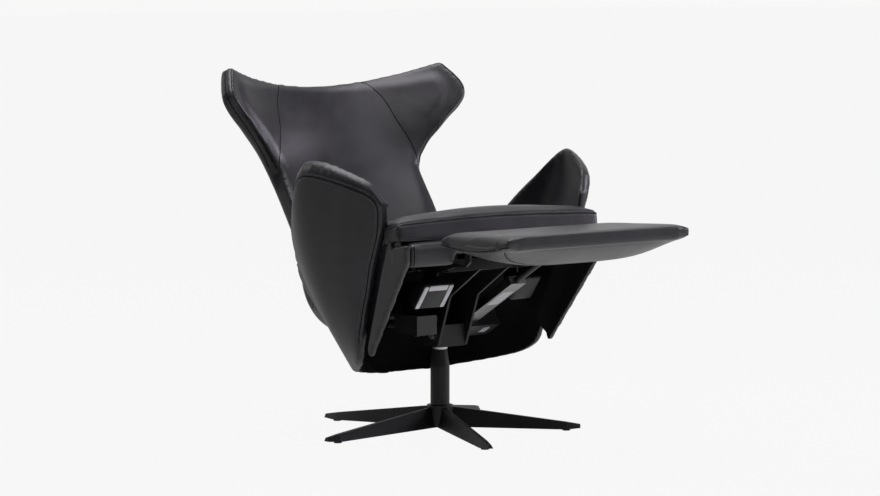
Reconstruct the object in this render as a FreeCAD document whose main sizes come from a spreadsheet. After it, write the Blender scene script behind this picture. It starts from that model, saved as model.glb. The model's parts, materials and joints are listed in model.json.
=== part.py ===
import FreeCAD, Part
import math
import os

doc = FreeCAD.newDocument("recliner")
sheet = doc.addObject("Spreadsheet::Sheet", "Sizes")
V = FreeCAD.Vector
Rot = FreeCAD.Rotation
Place = FreeCAD.Placement

# Driving sizes of the recliner, in millimetres and degrees.
SIZES = {
    "axis_y": 22.6,
    "leg_reach": 322,
    "leg_count": 5,
    "leg_turn": 36,
    "hub_radius": 30,
    "hub_low": 12,
    "hub_high": 61,
    "leg_tip_low": 2,
    "leg_tip_high": 15,
    "leg_top_half": 5,
    "leg_low_half": 14,
    "glide_radius": 9,
    "column_radius": 22,
    "column_neck_radius": 16.5,
    "column_shoulder": 150,
    "column_high": 190,
    "collar_radius": 17.4,
    "collar_height": 5,
    "bearing_height": 4,
    "spindle_radius": 12,
    "spindle_low": 80,
    "spindle_into_hub": 36,
    "run_gap": 0.05,
    "part_gap": 0.3,
    "swivel_hub_width": 74,
    "swivel_hub_depth": 90,
    "swivel_hub_height": 50,
    "riser_thick": 6,
    "bolt_radius": 7,
    "bolt_head": 5,
    "seat_tilt": 11,
    "pan_height": 421,
    "pan_thick": 12,
    "pan_width": 460,
    "pan_depth": 420,
    "rail_width": 20,
    "rail_height": 30,
    "rail_apart": 240,
    "rail_length": 396,
    "bar_size": 26,
    "front_bar_place": -172,
    "rear_bar_place": 160,
    "front_bar_width": 260,
    "rear_bar_width": 273.6,
    "cushion_front_half": 262,
    "cushion_rear_half": 218,
    "cushion_front": -243,
    "cushion_rear": 212,
    "cushion_edge": 40,
    "cushion_crown": 22,
    "roll_front": -258,
    "roll_rear": -209,
    "roll_low": 408,
    "roll_notch_high": 436,
    "roll_notch_half": 145,
    "roll_high": 461.5,
    "roll_half": 244,
    "roll_round": 15,
    "wall_thick": 15,
    "wall_low": 196,
    "wall_low_half": 240,
    "arm_bar_front": -45,
    "arm_bar_depth": 40,
    "arm_bar_low": 394,
    "arm_bar_height": 7,
    "seat_width": 500,
    "seat_depth": 500,
    "seat_height": 500,
    "arm_thick": 20,
    "arm_top_extra": 12,
    "shell_thick": 14,
    "back_pad_thick": 30,
    "back_cavity": 26,
    "back_skin": 11,
    "back_hinge_y": 265,
    "back_hinge_z": 327,
    "upright_place": 130,
    "upright_thick": 6,
    "upright_width": 14,
    "torque_tube_radius": 11,
    "lever_reach": 75,
    "lever_lean": -20,
    "lever_place": 95,
    "hinge_wall": 3,
    "hinge_boss": 13,
    "hinge_boss_half": 12,
    "hinge_plate_front": 127,
    "hinge_plate_low": 318,
    "hinge_plate_high": 352,
    "hinge_pin_inside": 16,
    "pin_head": 3,
    "lever_boss_wall": 4,
    "cheek_thick": 4,
    "pivot_gap": 0.6,
    "stub_radius": 5,
    "stub_length": 3.4,
    "eye_width": 16,
    "bore_floor": 4,
    "foot_hinge_y": -272,
    "foot_hinge_z": 440,
    "foot_arm_place": 127,
    "foot_arm_reach": 40,
    "foot_arm_thick": 5,
    "knee_y": -307,
    "knee_z": 470,
    "foot_rise": 2.7,
    "foot_length": 256,
    "foot_knee_half": 246,
    "foot_end_half": 261,
    "foot_pad_thick": 26,
    "foot_board_thick": 8,
    "foot_cover_depth": 30,
    "drive_place": 95,
    "drive_pivot_y": 40,
    "drive_pivot_z": 238,
    "drive_pin_radius": 6,
    "drive_pin_length": 40,
    "motor_side": 62,
    "motor_hole_depth": 24,
    "foot_rod_inside": 92,
    "foot_pin_radius": 5,
    "foot_boss": 10,
    "foot_pin_inside": 4,
    "board_front": 10,
    "board_end": 12,
    "board_knee_half": 236,
    "board_foot_half": 246,
    "cover_front": 26,
    "cover_end": 6,
    "cover_half": 188,
    "cover_rim": 3,
    "lug_reach": 37,
    "lug_angle": 180,
    "rod_radius": 8,
    "eye_wall": 0.6,
    "rail_profile_width": 44,
    "rail_profile_depth": 20,
    "rail_profile_length": 206,
    "motor_length": 118,
    "motor_depth": 56,
    "motor_height": 44,
    "back_motor_length": 84,
    "back_motor_width": 56,
    "back_motor_height": 44,
    "back_tube_radius": 17,
    "back_tube_length": 130,
    "back_motor_front": -74,
    "back_rod_inside": 40,
    "bracket_width": 24,
    "bracket_depth": 46,
    "bracket_height": 10,
    "bracket_front": -48,
    "bracket_rise": 2,
    "battery_width": 84,
    "battery_length": 70,
    "battery_thick": 28,
    "box_width": 66,
    "box_length": 70,
    "box_thick": 22,
    "hang_slope": 53.5,
    "hang_thick": 4,
    "battery_x": -130,
    "battery_y": -135,
    "battery_z": 338,
    "battery_hang_x": -122,
    "control_box_x": 156,
    "control_box_y": -112,
    "control_box_z": 333,
    "control_box_hang_x": 124,
    "hang_front": -17,
    "hang_rear": 38,
    "plate_length": 46,
    "plate_width": 20,
    "plate_thick": 4,
    "button_radius": 4,
    "button_height": 5,
    "button_pitch": 11,
    "plate_y": -186,
    "plate_z": 398,
    "plate_gap": 0.1,
    "button_seat": 1.3,
    "well_start": -1,
}
for row, (alias, value) in enumerate(SIZES.items(), start=1):
    sheet.set(f"A{row}", alias)
    sheet.set(f"B{row}", str(value))
    sheet.setAlias(f"B{row}", alias)
doc.recompute()
made = {}


def size(alias):
    return float(sheet.get(alias))


def at(x, y, z):
    """A point given from the swivel axis at the floor."""
    return V(x, y + size("axis_y"), z)


def keep(name, item):
    item.Label = name
    made[name] = item
    return item


def bind(item, **cells):
    for prop, words in cells.items():
        item.setExpression(prop, words)
    return item


def box(name, length, width, height):
    item = doc.addObject("Part::Box", name)
    return bind(item, Length=length, Width=width, Height=height)


def rod(name, radius, height):
    item = doc.addObject("Part::Cylinder", name)
    return bind(item, Radius=radius, Height=height)


def cut(name, base, tool):
    item = doc.addObject("Part::Cut", name)
    item.Base = base
    item.Tool = tool
    return item


def fuse(name, parts):
    item = doc.addObject("Part::MultiFuse", name)
    item.Shapes = parts
    return item


def shaped(name, shape):
    item = doc.addObject("Part::Feature", name)
    item.Shape = shape
    return keep(name, item)


def plate(points, x_from, x_to, rounds=(), holes=()):
    """A flat plate across X: an outline of (y, z) corners, round ends and holes as (y, z, radius)."""
    thick = V(x_to - x_from, 0, 0)
    corners = [at(x_from, y, z) for y, z in points]
    body = Part.Face(Part.makePolygon(corners + corners[:1])).extrude(thick)
    along = V(1, 0, 0)
    discs = [Part.makeCylinder(r, abs(thick.x), at(min(x_from, x_to), y, z), along) for y, z, r in rounds]
    if discs:
        body = body.fuse(discs).removeSplitter()
    for y, z, r in holes:
        body = body.cut(Part.makeCylinder(r, abs(thick.x), at(min(x_from, x_to), y, z), along))
    return body


def slab(near, far):
    """A closed solid between two grids of points."""
    skins = []
    for grid in (near, far):
        surface = Part.BSplineSurface()
        surface.interpolate(grid)
        skins.append(surface)
    faces = [surface.toShape() for surface in skins]
    sides = []
    for pick in ("uIso", "vIso"):
        for end in (0, 1):
            edges = []
            for surface in skins:
                low_u, high_u, low_v, high_v = surface.bounds()
                limits = (low_u, high_u) if pick == "uIso" else (low_v, high_v)
                edges.append(getattr(surface, pick)(limits[end]).toShape())
            sides.append(Part.makeRuledSurface(edges[0], edges[1]))
    shell = Part.makeShell(faces + sides)
    shell.sewShape()
    solid = Part.makeSolid(shell)
    if solid.Volume < 0:
        solid.reverse()
    return solid


def mirrored(shape):
    return shape.mirror(V(0, 0, 0), V(1, 0, 0))


def blend_rows(rows, t):
    """A smooth value from evenly placed rows, by Catmull-Rom."""
    n = len(rows) - 1
    place = min(max(t, 0), 1) * n
    i = min(int(place), n - 1)
    f = place - i
    p = [rows[max(0, min(n, i + k))] for k in (-1, 0, 1, 2)]
    out = []
    for a, b, c, d in zip(*p):
        out.append(
            b + f * ((c - a) / 2 + f * ((2 * a - 5 * b + 4 * c - d) / 2 + f * (3 * (b - c) + d - a) / 2))
        )
    return out


def surface_normal(point, u, v):
    step = 1e-3
    du = point(u + step, v) - point(u - step, v)
    dv = point(u, v + step) - point(u, v - step)
    n = du.cross(dv)
    return n.normalize()


# Star base.
def leg_section(reach, low, high, top_half, low_half):
    corners = [
        V(reach, -low_half, low),
        V(reach, low_half, low),
        V(reach, top_half, high),
        V(reach, -top_half, high),
    ]
    return Part.makePolygon(corners + corners[:1])


tip = size("leg_reach")
thin = 0.55
leg_share = 0.9
tip_mid = (size("leg_tip_low") + size("leg_tip_high")) / 2
low_at_share = size("hub_low") + (size("leg_tip_low") - size("hub_low")) * leg_share
high_at_share = size("hub_high") + (size("leg_tip_high") - size("hub_high")) * leg_share
leg = Part.makeLoft(
    [
        leg_section(0, size("hub_low"), size("hub_high"), size("leg_top_half"), size("leg_low_half")),
        leg_section(
            tip * leg_share, low_at_share, high_at_share, size("leg_top_half"),
            size("leg_low_half") * leg_share,
        ),
        leg_section(
            tip,
            (low_at_share + tip_mid) / 2,
            (high_at_share + tip_mid) / 2,
            size("leg_top_half") * thin,
            size("leg_low_half") * thin,
        ),
    ],
    True,
    True,
)
turn = 360 / size("leg_count")
legs = []
for n in range(int(size("leg_count"))):
    one = leg.copy()
    one.rotate(V(0, 0, 0), V(0, 0, 1), size("leg_turn") + n * turn)
    legs.append(one)
hub = Part.makeCylinder(size("hub_radius"), size("hub_high") - size("hub_low"), V(0, 0, size("hub_low")))
star = hub.fuse(legs).removeSplitter()
star.translate(at(0, 0, 0))
shaped("star_base", star)

glides = []
glide_reach = tip * leg_share
for n in range(int(size("leg_count"))):
    angle = math.radians(size("leg_turn") + n * turn)
    foot = rod(f"glide_{n}", "Sizes.glide_radius", f"{low_at_share} mm")
    foot.Placement.Base = at(glide_reach * math.cos(angle), glide_reach * math.sin(angle), 0)
    glides.append(foot)
group = doc.addObject("Part::Compound", "foot_glides")
group.Links = glides
keep("foot_glides", group)

# Column and swivel.
shaft = rod("shaft", "Sizes.column_radius", "Sizes.column_shoulder - Sizes.hub_high")
shaft.Placement.Base = at(0, 0, size("hub_high"))
neck = doc.addObject("Part::Cone", "neck")
bind(
    neck,
    Radius1="Sizes.column_radius",
    Radius2="Sizes.column_neck_radius",
    Height="Sizes.column_high - Sizes.column_shoulder",
)
neck.Placement.Base = at(0, 0, size("column_shoulder"))
bore = rod("bore", "Sizes.spindle_radius + Sizes.run_gap", "Sizes.column_high")
bore.Placement.Base = at(0, 0, size("hub_high"))
keep("column_tube", cut("column_tube", fuse("column_body", [shaft, neck]), bore))


def ring(name, radius, low, height):
    outer = rod(name + "_outer", radius, height)
    outer.Placement.Base = at(0, 0, low)
    inner = rod(name + "_inner", "Sizes.spindle_radius + Sizes.run_gap", height)
    inner.Placement.Base = at(0, 0, low)
    return keep(name, cut(name, outer, inner))


collar_top = size("column_high") + size("collar_height")
ring("column_collar", "Sizes.collar_radius", size("column_high"), "Sizes.collar_height")
ring("swivel_bearing", "Sizes.column_neck_radius", collar_top, "Sizes.bearing_height")
hub_floor = collar_top + size("bearing_height") + size("part_gap")
spindle_top = hub_floor + size("spindle_into_hub")
spindle = rod("swivel_spindle", "Sizes.spindle_radius", f"{spindle_top} - Sizes.spindle_low")
spindle.Placement.Base = at(0, 0, size("spindle_low"))
keep("swivel_spindle", spindle)
block = box("hub_block", "Sizes.swivel_hub_width", "Sizes.swivel_hub_depth", "Sizes.swivel_hub_height")
block.Placement.Base = at(-size("swivel_hub_width") / 2, -size("swivel_hub_depth") / 2, hub_floor)
socket = rod("hub_socket", "Sizes.spindle_radius", "Sizes.spindle_into_hub")
socket.Placement.Base = at(0, 0, hub_floor)
keep("swivel_hub", cut("swivel_hub", block, socket))

# Seat frame, all on the tilted seat plane.
tilt = math.radians(size("seat_tilt"))
seat_turn = Rot(V(1, 0, 0), -size("seat_tilt"))


def on_seat(x, along, up):
    """A point on the seat plane: across, towards the rear and square to the seat."""
    local = seat_turn.multVec(V(x, along, up))
    return at(local.x, local.y, local.z + size("pan_height"))


def seat_box(name, length, width, height, x, along, up):
    item = box(name, length, width, height)
    item.Placement = Place(on_seat(x, along, up), seat_turn)
    return keep(name, item)


rail_top = -size("pan_thick") - size("run_gap")
rail_low = rail_top - size("rail_height")
bar_low = rail_low - size("run_gap") - size("bar_size")
seat_box(
    "seat_pan", "Sizes.pan_width", "Sizes.pan_depth", "Sizes.pan_thick",
    -size("pan_width") / 2, -size("pan_depth") / 2, -size("pan_thick"),
)
for side, sign in (("right", -1), ("left", 1)):
    seat_box(
        f"seat_rail_{side}", "Sizes.rail_width", "Sizes.rail_length", "Sizes.rail_height",
        sign * size("rail_apart") / 2 - size("rail_width") / 2, -size("rail_length") / 2, rail_low,
    )
for end in ("front", "rear"):
    seat_box(
        f"{end}_cross_bar", f"Sizes.{end}_bar_width", "Sizes.bar_size", "Sizes.bar_size",
        -size(f"{end}_bar_width") / 2, size(f"{end}_bar_place") - size("bar_size") / 2, bar_low,
    )


def under_bars(y):
    """Height of the plane under the cross bars."""
    return size("pan_height") + bar_low / math.cos(tilt) - y * math.tan(tilt)


hub_half = size("swivel_hub_width") / 2
hub_top = hub_floor + size("swivel_hub_height")
half_depth = size("swivel_hub_depth") / 2
bolts = []
for side, sign in (("right", -1), ("left", 1)):
    front_y = size("front_bar_place") - size("bar_size")
    rear_y = size("rear_bar_place") + size("bar_size")
    outline = [
        (-half_depth, hub_floor + 4 * size("part_gap")),
        (half_depth, hub_floor + 4 * size("part_gap")),
        (half_depth, hub_top),
        (rear_y, under_bars(rear_y)),
        (front_y, under_bars(front_y)),
        (-2 * half_depth, (hub_top + under_bars(front_y)) / 2),
    ]
    inner = sign * hub_half
    outer = sign * (hub_half + size("riser_thick"))
    shaped(f"riser_{side}", plate(outline, inner, outer))
    for spot in (-0.6, 0.6):
        start = at(outer, spot * half_depth, (hub_floor + hub_top) / 2)
        bolts.append(Part.makeCylinder(size("bolt_radius"), size("bolt_head"), start, V(sign, 0, 0)))
shaped("hub_bolts", Part.makeCompound(bolts))

# Seat cushion, front roll and side walls.
grid_count = 7
low_grid = []
high_grid = []
for i in range(grid_count):
    s = i / (grid_count - 1)
    along = size("cushion_front") + s * (size("cushion_rear") - size("cushion_front"))
    half = size("cushion_front_half") + s * (size("cushion_rear_half") - size("cushion_front_half"))
    low_row = []
    high_row = []
    for j in range(grid_count):
        t = 2 * j / (grid_count - 1) - 1
        rise = size("cushion_crown") * (1 - t * t) * (1 - 0.6 * (2 * s - 1) ** 4)
        low_row.append(on_seat(half * t, along, 2 * size("part_gap")))
        high_row.append(on_seat(half * t, along, size("cushion_edge") + rise))
    low_grid.append(low_row)
    high_grid.append(high_row)
shaped("seat_cushion", slab(low_grid, high_grid))

roll_box = doc.addObject("Part::Box", "roll_box")
bind(
    roll_box,
    Length="2 * Sizes.roll_half",
    Width="Sizes.roll_rear - Sizes.roll_front",
    Height="Sizes.roll_high - Sizes.roll_low",
)
roll_box.Placement.Base = at(-size("roll_half"), size("roll_front"), size("roll_low"))
doc.recompute()
roll = doc.addObject("Part::Fillet", "front_roll_whole")
roll.Base = roll_box
long_edges = []
for number, edge in enumerate(roll_box.Shape.Edges, start=1):
    middle = edge.CenterOfMass
    if abs(middle.x) < size("part_gap") and middle.y < at(0, size("roll_front"), 0).y + size("part_gap"):
        long_edges.append((number, size("roll_round"), size("roll_round")))
roll.Edges = long_edges
doc.recompute()
notch = box(
    "front_roll_notch",
    "2 * Sizes.roll_notch_half",
    "Sizes.roll_rear - Sizes.roll_front",
    "Sizes.roll_notch_high - Sizes.roll_low",
)
notch.Placement.Base = at(-size("roll_notch_half"), size("roll_front"), size("roll_low"))
keep("front_roll", cut("front_roll", roll, notch))

# Side walls lean outwards towards the top.
wall_shares = [
    (-0.498, 0.848), (-0.5, 0.922), (-0.41, 0.91), (-0.38, 0.868), (0.1, 0.804), (0.1, 0.69), (-0.12, 0.49),
]
wall_foot_share = -0.168
wall_outline = [(y * size("seat_depth"), z * size("seat_height")) for y, z in wall_shares]
wall_outline.append((wall_foot_share * size("seat_depth"), size("wall_low")))
wall_lean = 0.1


def wall_half(z):
    return size("wall_low_half") + (z - size("wall_low")) * wall_lean


def sided(name, shape):
    """The left piece and its mirror image on the right."""
    shaped(f"{name}_left", shape)
    shaped(f"{name}_right", mirrored(shape))


wires = []
for inset in (0, size("wall_thick")):
    points = [at(wall_half(z) - inset, y, z) for y, z in wall_outline]
    wires.append(Part.makePolygon(points + points[:1]))
sided("side_wall", Part.makeLoft(wires, True, True))

# Bars carry the side walls from the seat rails.
bar_y = size("arm_bar_front")
bar_z = size("arm_bar_low")
arm_bar = [
    (bar_y, bar_z),
    (bar_y + size("arm_bar_depth"), bar_z),
    (bar_y + size("arm_bar_depth"), bar_z + size("arm_bar_height")),
    (bar_y, bar_z + size("arm_bar_height")),
]
bar_from = (size("rail_apart") + size("rail_width")) / 2 + size("part_gap")
bar_to = wall_half(bar_z) - size("wall_thick") - size("part_gap")
left_bar = plate(arm_bar, bar_from, bar_to)
shaped("arm_bars", Part.makeCompound([left_bar, mirrored(left_bar)]))

# Arm shells: stations from the front edge round to the rear, each with a low, middle and top point.
seat_extents = (size("seat_width"), size("seat_depth"), size("seat_height"))
arm_shares = [
    (0.5308, -0.084, 0.384, 0.5672, -0.224, 0.76, 0.586, -0.372, 1.092),
    (0.492, -0.016, 0.336, 0.63, -0.11, 0.77, 0.69, -0.24, 1.194),
    (0.41, 0.11, 0.296, 0.66, 0.09, 0.77, 0.78, 0, 1.254),
    (0.3, 0.2, 0.272, 0.58, 0.232, 0.7, 0.72, 0.15, 1.132),
    (0.2, 0.254, 0.256, 0.456, 0.336, 0.6, 0.632, 0.3, 0.964),
    (0.116, 0.276, 0.25, 0.324, 0.44, 0.496, 0.504, 0.41, 0.752),
]
arm_rows = [[share * extent for share, extent in zip(row, 3 * seat_extents)] for row in arm_shares]
rear_shares = [
    (-0.116, 0.276, 0.25, -0.324, 0.44, 0.496, -0.504, 0.41, 0.752),
    (-0.06, 0.292, 0.244, -0.184, 0.583, 0.484, -0.3, 0.65, 0.684),
    (0, 0.3, 0.242, 0, 0.611, 0.476, 0, 0.732, 0.664),
    (0.06, 0.292, 0.244, 0.184, 0.583, 0.484, 0.3, 0.65, 0.684),
    (0.116, 0.276, 0.25, 0.324, 0.44, 0.496, 0.504, 0.41, 0.752),
]
rear_rows = [[share * extent for share, extent in zip(row, 3 * seat_extents)] for row in rear_shares]


def station_point(rows):
    def point(t, w):
        b = blend_rows(rows, t)
        low, mid, top = V(*b[0:3]), V(*b[3:6]), V(*b[6:9])
        spot = low * ((1 - w) * (1 - 2 * w)) + mid * (4 * w * (1 - w)) + top * (w * (2 * w - 1))
        return at(spot.x, spot.y, spot.z)

    return point


def grids(point, us, vs, depth, inward):
    """The outer skin's points, and the same points carried inwards by a depth."""
    near = []
    far = []
    for u in us:
        near.append([point(u, v) for v in vs])
        far.append([point(u, v) + inward(u) * depth(u, v) for v in vs])
    return near, far


def steps(low, high, count):
    return [low + (high - low) * i / (count - 1) for i in range(count)]


def arm_depth(u, v):
    return size("arm_thick") * (0.96 + 0.04 * u) + size("arm_top_extra") * v ** 6


def arm_inward(u):
    angle = math.radians(60 * u)
    return V(-math.cos(angle), -math.sin(angle), 0)


def shell_depth(u, v):
    return size("shell_thick")


def shell_inward(u):
    angle = math.radians(60 * (1 - 2 * u))
    return V(math.sin(angle), -math.cos(angle), 0)


arm_point = station_point(arm_rows)
rear_point = station_point(rear_rows)
heights = steps(0, 1, 7)
arm_end = 0.999
rear_start = 0.0012
sided("arm_shell", slab(*grids(arm_point, steps(0, arm_end, 11), heights, arm_depth, arm_inward)))
rear_steps = steps(rear_start, 1 - rear_start, 11)
shaped("rear_shell", slab(*grids(rear_point, rear_steps, heights, shell_depth, shell_inward)))

# Back: rows of centre depth, centre height, half width, and how far the edge comes forward and up.
back_extents = [size(f"seat_{extent}") for extent in ("depth", "height", "width", "depth", "height")]
back_shares = [
    (0.476, 0.722, 0.38, 0.044, 0.012),
    (0.6, 0.918, 0.402, 0.068, 0.02),
    (0.77, 1.174, 0.424, 0.076, 0.02),
    (0.86, 1.358, 0.552, 0.18, 0.02),
    (0.924, 1.484, 0.67, 0.252, 0.044),
    (0.956, 1.544, 0.612, 0.176, 0.11),
]
back_rows = [[share * extent for share, extent in zip(row, back_extents)] for row in back_shares]
seam_rows = [(1,), (1,), (0.94,), (0.63,), (0.45,), (0.385,)]


def back_point(u, v):
    y, z, half, forward, up = blend_rows(back_rows, v)
    return at(half * u, y - forward * u * u, z + up * u * u)


def seam_share(v):
    return min(1, blend_rows(seam_rows, v)[0])


rearward = 1 if surface_normal(back_point, 0, 0.5).y > 0 else -1


def back_solid(low_share, high_share, v_low, v_high, near_depth, far_depth, across, up):
    near = []
    far = []
    for s in steps(0, 1, across):
        near_row = []
        far_row = []
        for v in steps(v_low, v_high, up):
            low = low_share(v)
            u = low + (high_share(v) - low) * s
            n = surface_normal(back_point, u, v) * rearward
            p = back_point(u, v)
            near_row.append(p + n * near_depth(u, v))
            far_row.append(p + n * far_depth(u, v))
        near.append(near_row)
        far.append(far_row)
    return slab(near, far)


edge_thin = 0.5


def pad_rear(u, v):
    return size("back_pad_thick") * (1 - edge_thin * min(1, abs(u)) ** 4)


def cavity(u, v):
    hollow = (1 - min(1, abs(u)) ** 4) * (1 - v ** 4)
    return pad_rear(u, v) + 11 * size("part_gap") + size("back_cavity") * hollow


def skin(u, v):
    return cavity(u, v) + size("back_skin") * (1 - edge_thin * min(1, abs(u)) ** 4)


def front_face(u, v):
    return 0


seam_gap = 0.008
shell_start = 0.05
wing_start = 0.39
pad_steps = (15, 21)
wing_steps = (7, 14)
shell_steps = (21, 21)
shaped(
    "back_pad",
    back_solid(lambda v: -seam_share(v), seam_share, 0, 1, front_face, pad_rear, *pad_steps),
)
sided(
    "back_wing",
    back_solid(
        lambda v: seam_share(v) + seam_gap, lambda v: 1.0, wing_start, 1, front_face, pad_rear, *wing_steps
    ),
)
shaped(
    "back_shell",
    back_solid(lambda v: -1.0, lambda v: 1.0, shell_start, 1, cavity, skin, *shell_steps),
)

hinge_y = size("back_hinge_y")
hinge_z = size("back_hinge_z")
pin_radius = size("torque_tube_radius") - size("hinge_wall")
up_x = size("upright_place")
low_edge = []
high_edge = []
for v in steps(0.0, 0.72, 13):
    half = blend_rows(back_rows, v)[2]
    u = up_x / half
    n = surface_normal(back_point, u, v) * rearward
    p = back_point(u, v) - at(0, 0, 0)
    start = size("back_pad_thick") + 10 * size("part_gap")
    for edge, depth in ((low_edge, start), (high_edge, start + size("upright_width"))):
        q = p + n * depth
        edge.append((q.y, q.z))
eye = size("hinge_boss")
half_thick = size("upright_thick") / 2
eye_share = 0.7
upright = plate(
    [(hinge_y - eye * eye_share, hinge_z), *low_edge, *high_edge[::-1], (hinge_y + eye * eye_share, hinge_z)],
    up_x - half_thick,
    up_x + half_thick,
    [(hinge_y, hinge_z, eye)],
    [(hinge_y, hinge_z, pin_radius + size("run_gap"))],
)
sided("back_upright", upright)
tube = rod(
    "torque_outer",
    "Sizes.torque_tube_radius",
    "2 * Sizes.upright_place - Sizes.upright_thick - Sizes.part_gap",
)
tube_bore = rod(
    "torque_inner",
    "Sizes.torque_tube_radius - Sizes.hinge_wall + Sizes.run_gap",
    "2 * Sizes.upright_place",
)
tube_half = up_x - half_thick - size("part_gap") / 2
across = Rot(V(0, 1, 0), 90)
tube.Placement = Place(at(-tube_half, hinge_y, hinge_z), across)
tube_bore.Placement = Place(at(-up_x, hinge_y, hinge_z), across)
keep("back_torque_tube", cut("back_torque_tube", tube, tube_bore))
eye_radius = size("rod_radius") + size("eye_wall")
eye_width = size("eye_width")
rod_half = max(eye_width / 2, size("rod_radius"))
cheek_place = rod_half + size("pivot_gap") + size("stub_length") + size("cheek_thick") / 2
lean = math.radians(size("lever_lean"))
pin_y = hinge_y + size("lever_reach") * math.sin(lean)
pin_z = hinge_z - size("lever_reach") * math.cos(lean)
lever_half = eye_radius
lever_parts = []
for sign in (-1, 1):
    x_low = -size("lever_place") + sign * cheek_place - size("cheek_thick") / 2
    lever_parts.append(
        plate(
            [
                (hinge_y - lever_half, hinge_z),
                (hinge_y + lever_half, hinge_z),
                (pin_y + lever_half, pin_z),
                (pin_y - lever_half, pin_z),
            ],
            x_low,
            x_low + size("cheek_thick"),
            [
                (hinge_y, hinge_z, size("torque_tube_radius") + size("lever_boss_wall")),
                (pin_y, pin_z, lever_half),
            ],
            [(hinge_y, hinge_z, size("torque_tube_radius") + size("run_gap"))],
        )
    )
    stub_from = -size("lever_place") + sign * (cheek_place - size("cheek_thick") / 2)
    lever_parts.append(
        Part.makeCylinder(
            size("stub_radius"), size("stub_length"), at(stub_from, pin_y, pin_z), V(-sign, 0, 0)
        )
    )
lever_a = lever_parts[0].fuse(lever_parts[1]).removeSplitter()
lever_b = lever_parts[2].fuse(lever_parts[3]).removeSplitter()
shaped("back_drive_lever", Part.makeCompound([lever_a, lever_b]))

plate_front = size("hinge_plate_front")
plate_inner = size("rear_bar_width") / 2 + size("part_gap")
plates = plate(
    [
        (plate_front, size("hinge_plate_low")),
        (plate_front, size("hinge_plate_high")),
        (hinge_y, hinge_z + size("hinge_boss_half")),
        (hinge_y, hinge_z - size("hinge_boss_half")),
    ],
    plate_inner,
    plate_inner + size("riser_thick"),
    [(hinge_y, hinge_z, size("hinge_boss"))],
    [(hinge_y, hinge_z, pin_radius)],
)
sided("back_hinge_plate", plates)
pins = []
pin_start = up_x - half_thick - size("hinge_pin_inside")
pin_end = plate_inner + size("riser_thick") + size("pin_head")
for sign in (-1, 1):
    pins.append(
        Part.makeCylinder(
            pin_radius, pin_end - pin_start, at(sign * pin_start, hinge_y, hinge_z), V(sign, 0, 0)
        )
    )
shaped("back_hinge_pins", Part.makeCompound(pins))

# Back actuator, fixed to the frame, with a sliding rod.
axis_x = -size("lever_place")
motor = box("back_motor_box", "Sizes.back_motor_width", "Sizes.back_motor_length", "Sizes.back_motor_height")
motor_front = size("back_motor_front")
motor.Placement.Base = at(
    axis_x - size("back_motor_width") / 2, motor_front, pin_z - size("back_motor_height") / 2
)
rearwards = Rot(V(1, 0, 0), -90)
tube_from = motor_front + size("back_motor_length")
outer = rod("back_tube_outer", "Sizes.back_tube_radius", "Sizes.back_tube_length")
outer.Placement = Place(at(axis_x, tube_from, pin_z), rearwards)
inner = rod("back_tube_inner", "Sizes.rod_radius + Sizes.run_gap", "Sizes.back_tube_length")
inner.Placement = Place(at(axis_x, tube_from + size("bore_floor"), pin_z), rearwards)
keep("back_motor", motor)
keep("back_spindle_tube", cut("back_spindle_tube", outer, inner))
rod_from = tube_from + size("back_tube_length") - size("back_rod_inside")
rod_body = Part.makeCylinder(size("rod_radius"), pin_y - rod_from, at(axis_x, rod_from, pin_z), V(0, 1, 0))
rod_eye = Part.makeCylinder(
    eye_radius, eye_width, at(axis_x - eye_width / 2, pin_y, pin_z), V(1, 0, 0)
)
shaped("back_drive_rod", rod_body.fuse(rod_eye).removeSplitter())
mount = box("back_motor_bracket", "Sizes.bracket_width", "Sizes.bracket_depth", "Sizes.bracket_height")
mount.Placement.Base = at(
    -hub_half - size("riser_thick") - size("bracket_width"),
    size("bracket_front"),
    pin_z + size("bracket_rise"),
)
keep("back_motor_bracket", mount)

# Footrest, in its own frame: along from the knee end, and square to the pad.
rise = math.radians(size("foot_rise"))
foot_y = size("foot_hinge_y")
foot_z = size("foot_hinge_z")


def foot_flat(a, b):
    y = size("knee_y") - a * math.cos(rise) + b * math.sin(rise)
    z = size("knee_z") + a * math.sin(rise) + b * math.cos(rise)
    return y, z


def foot_slab(a_low, a_high, half_low, half_high, top, low):
    near, far = [], []
    for a in steps(a_low, a_high, 9):
        share = (a - a_low) / (a_high - a_low)
        half = half_low + (half_high - half_low) * share
        near_row, far_row = [], []
        for t in steps(-1, 1, 9):
            near_row.append(at(half * t, *foot_flat(a, top)))
            far_row.append(at(half * t, *foot_flat(a, low(t, share))))
        near.append(near_row)
        far.append(far_row)
    return slab(near, far)


pad_half = size("foot_pad_thick") / 2
board_top = -pad_half - size("part_gap")
board_low = board_top - size("foot_board_thick")
cover_top = board_low - size("part_gap")
length = size("foot_length")
shaped(
    "footrest_pad",
    foot_slab(0, length, size("foot_knee_half"), size("foot_end_half"), pad_half, lambda t, s: -pad_half),
)
shaped(
    "footrest_board",
    foot_slab(
        size("board_front"), length - size("board_end"), size("board_knee_half"), size("board_foot_half"),
        board_top, lambda t, s: board_low,
    ),
)


def cover_low(t, share):
    bulge = (1 - t ** 4) * (1 - (1 - share) ** 2.5)
    return cover_top - size("cover_rim") - size("foot_cover_depth") * bulge


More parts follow.
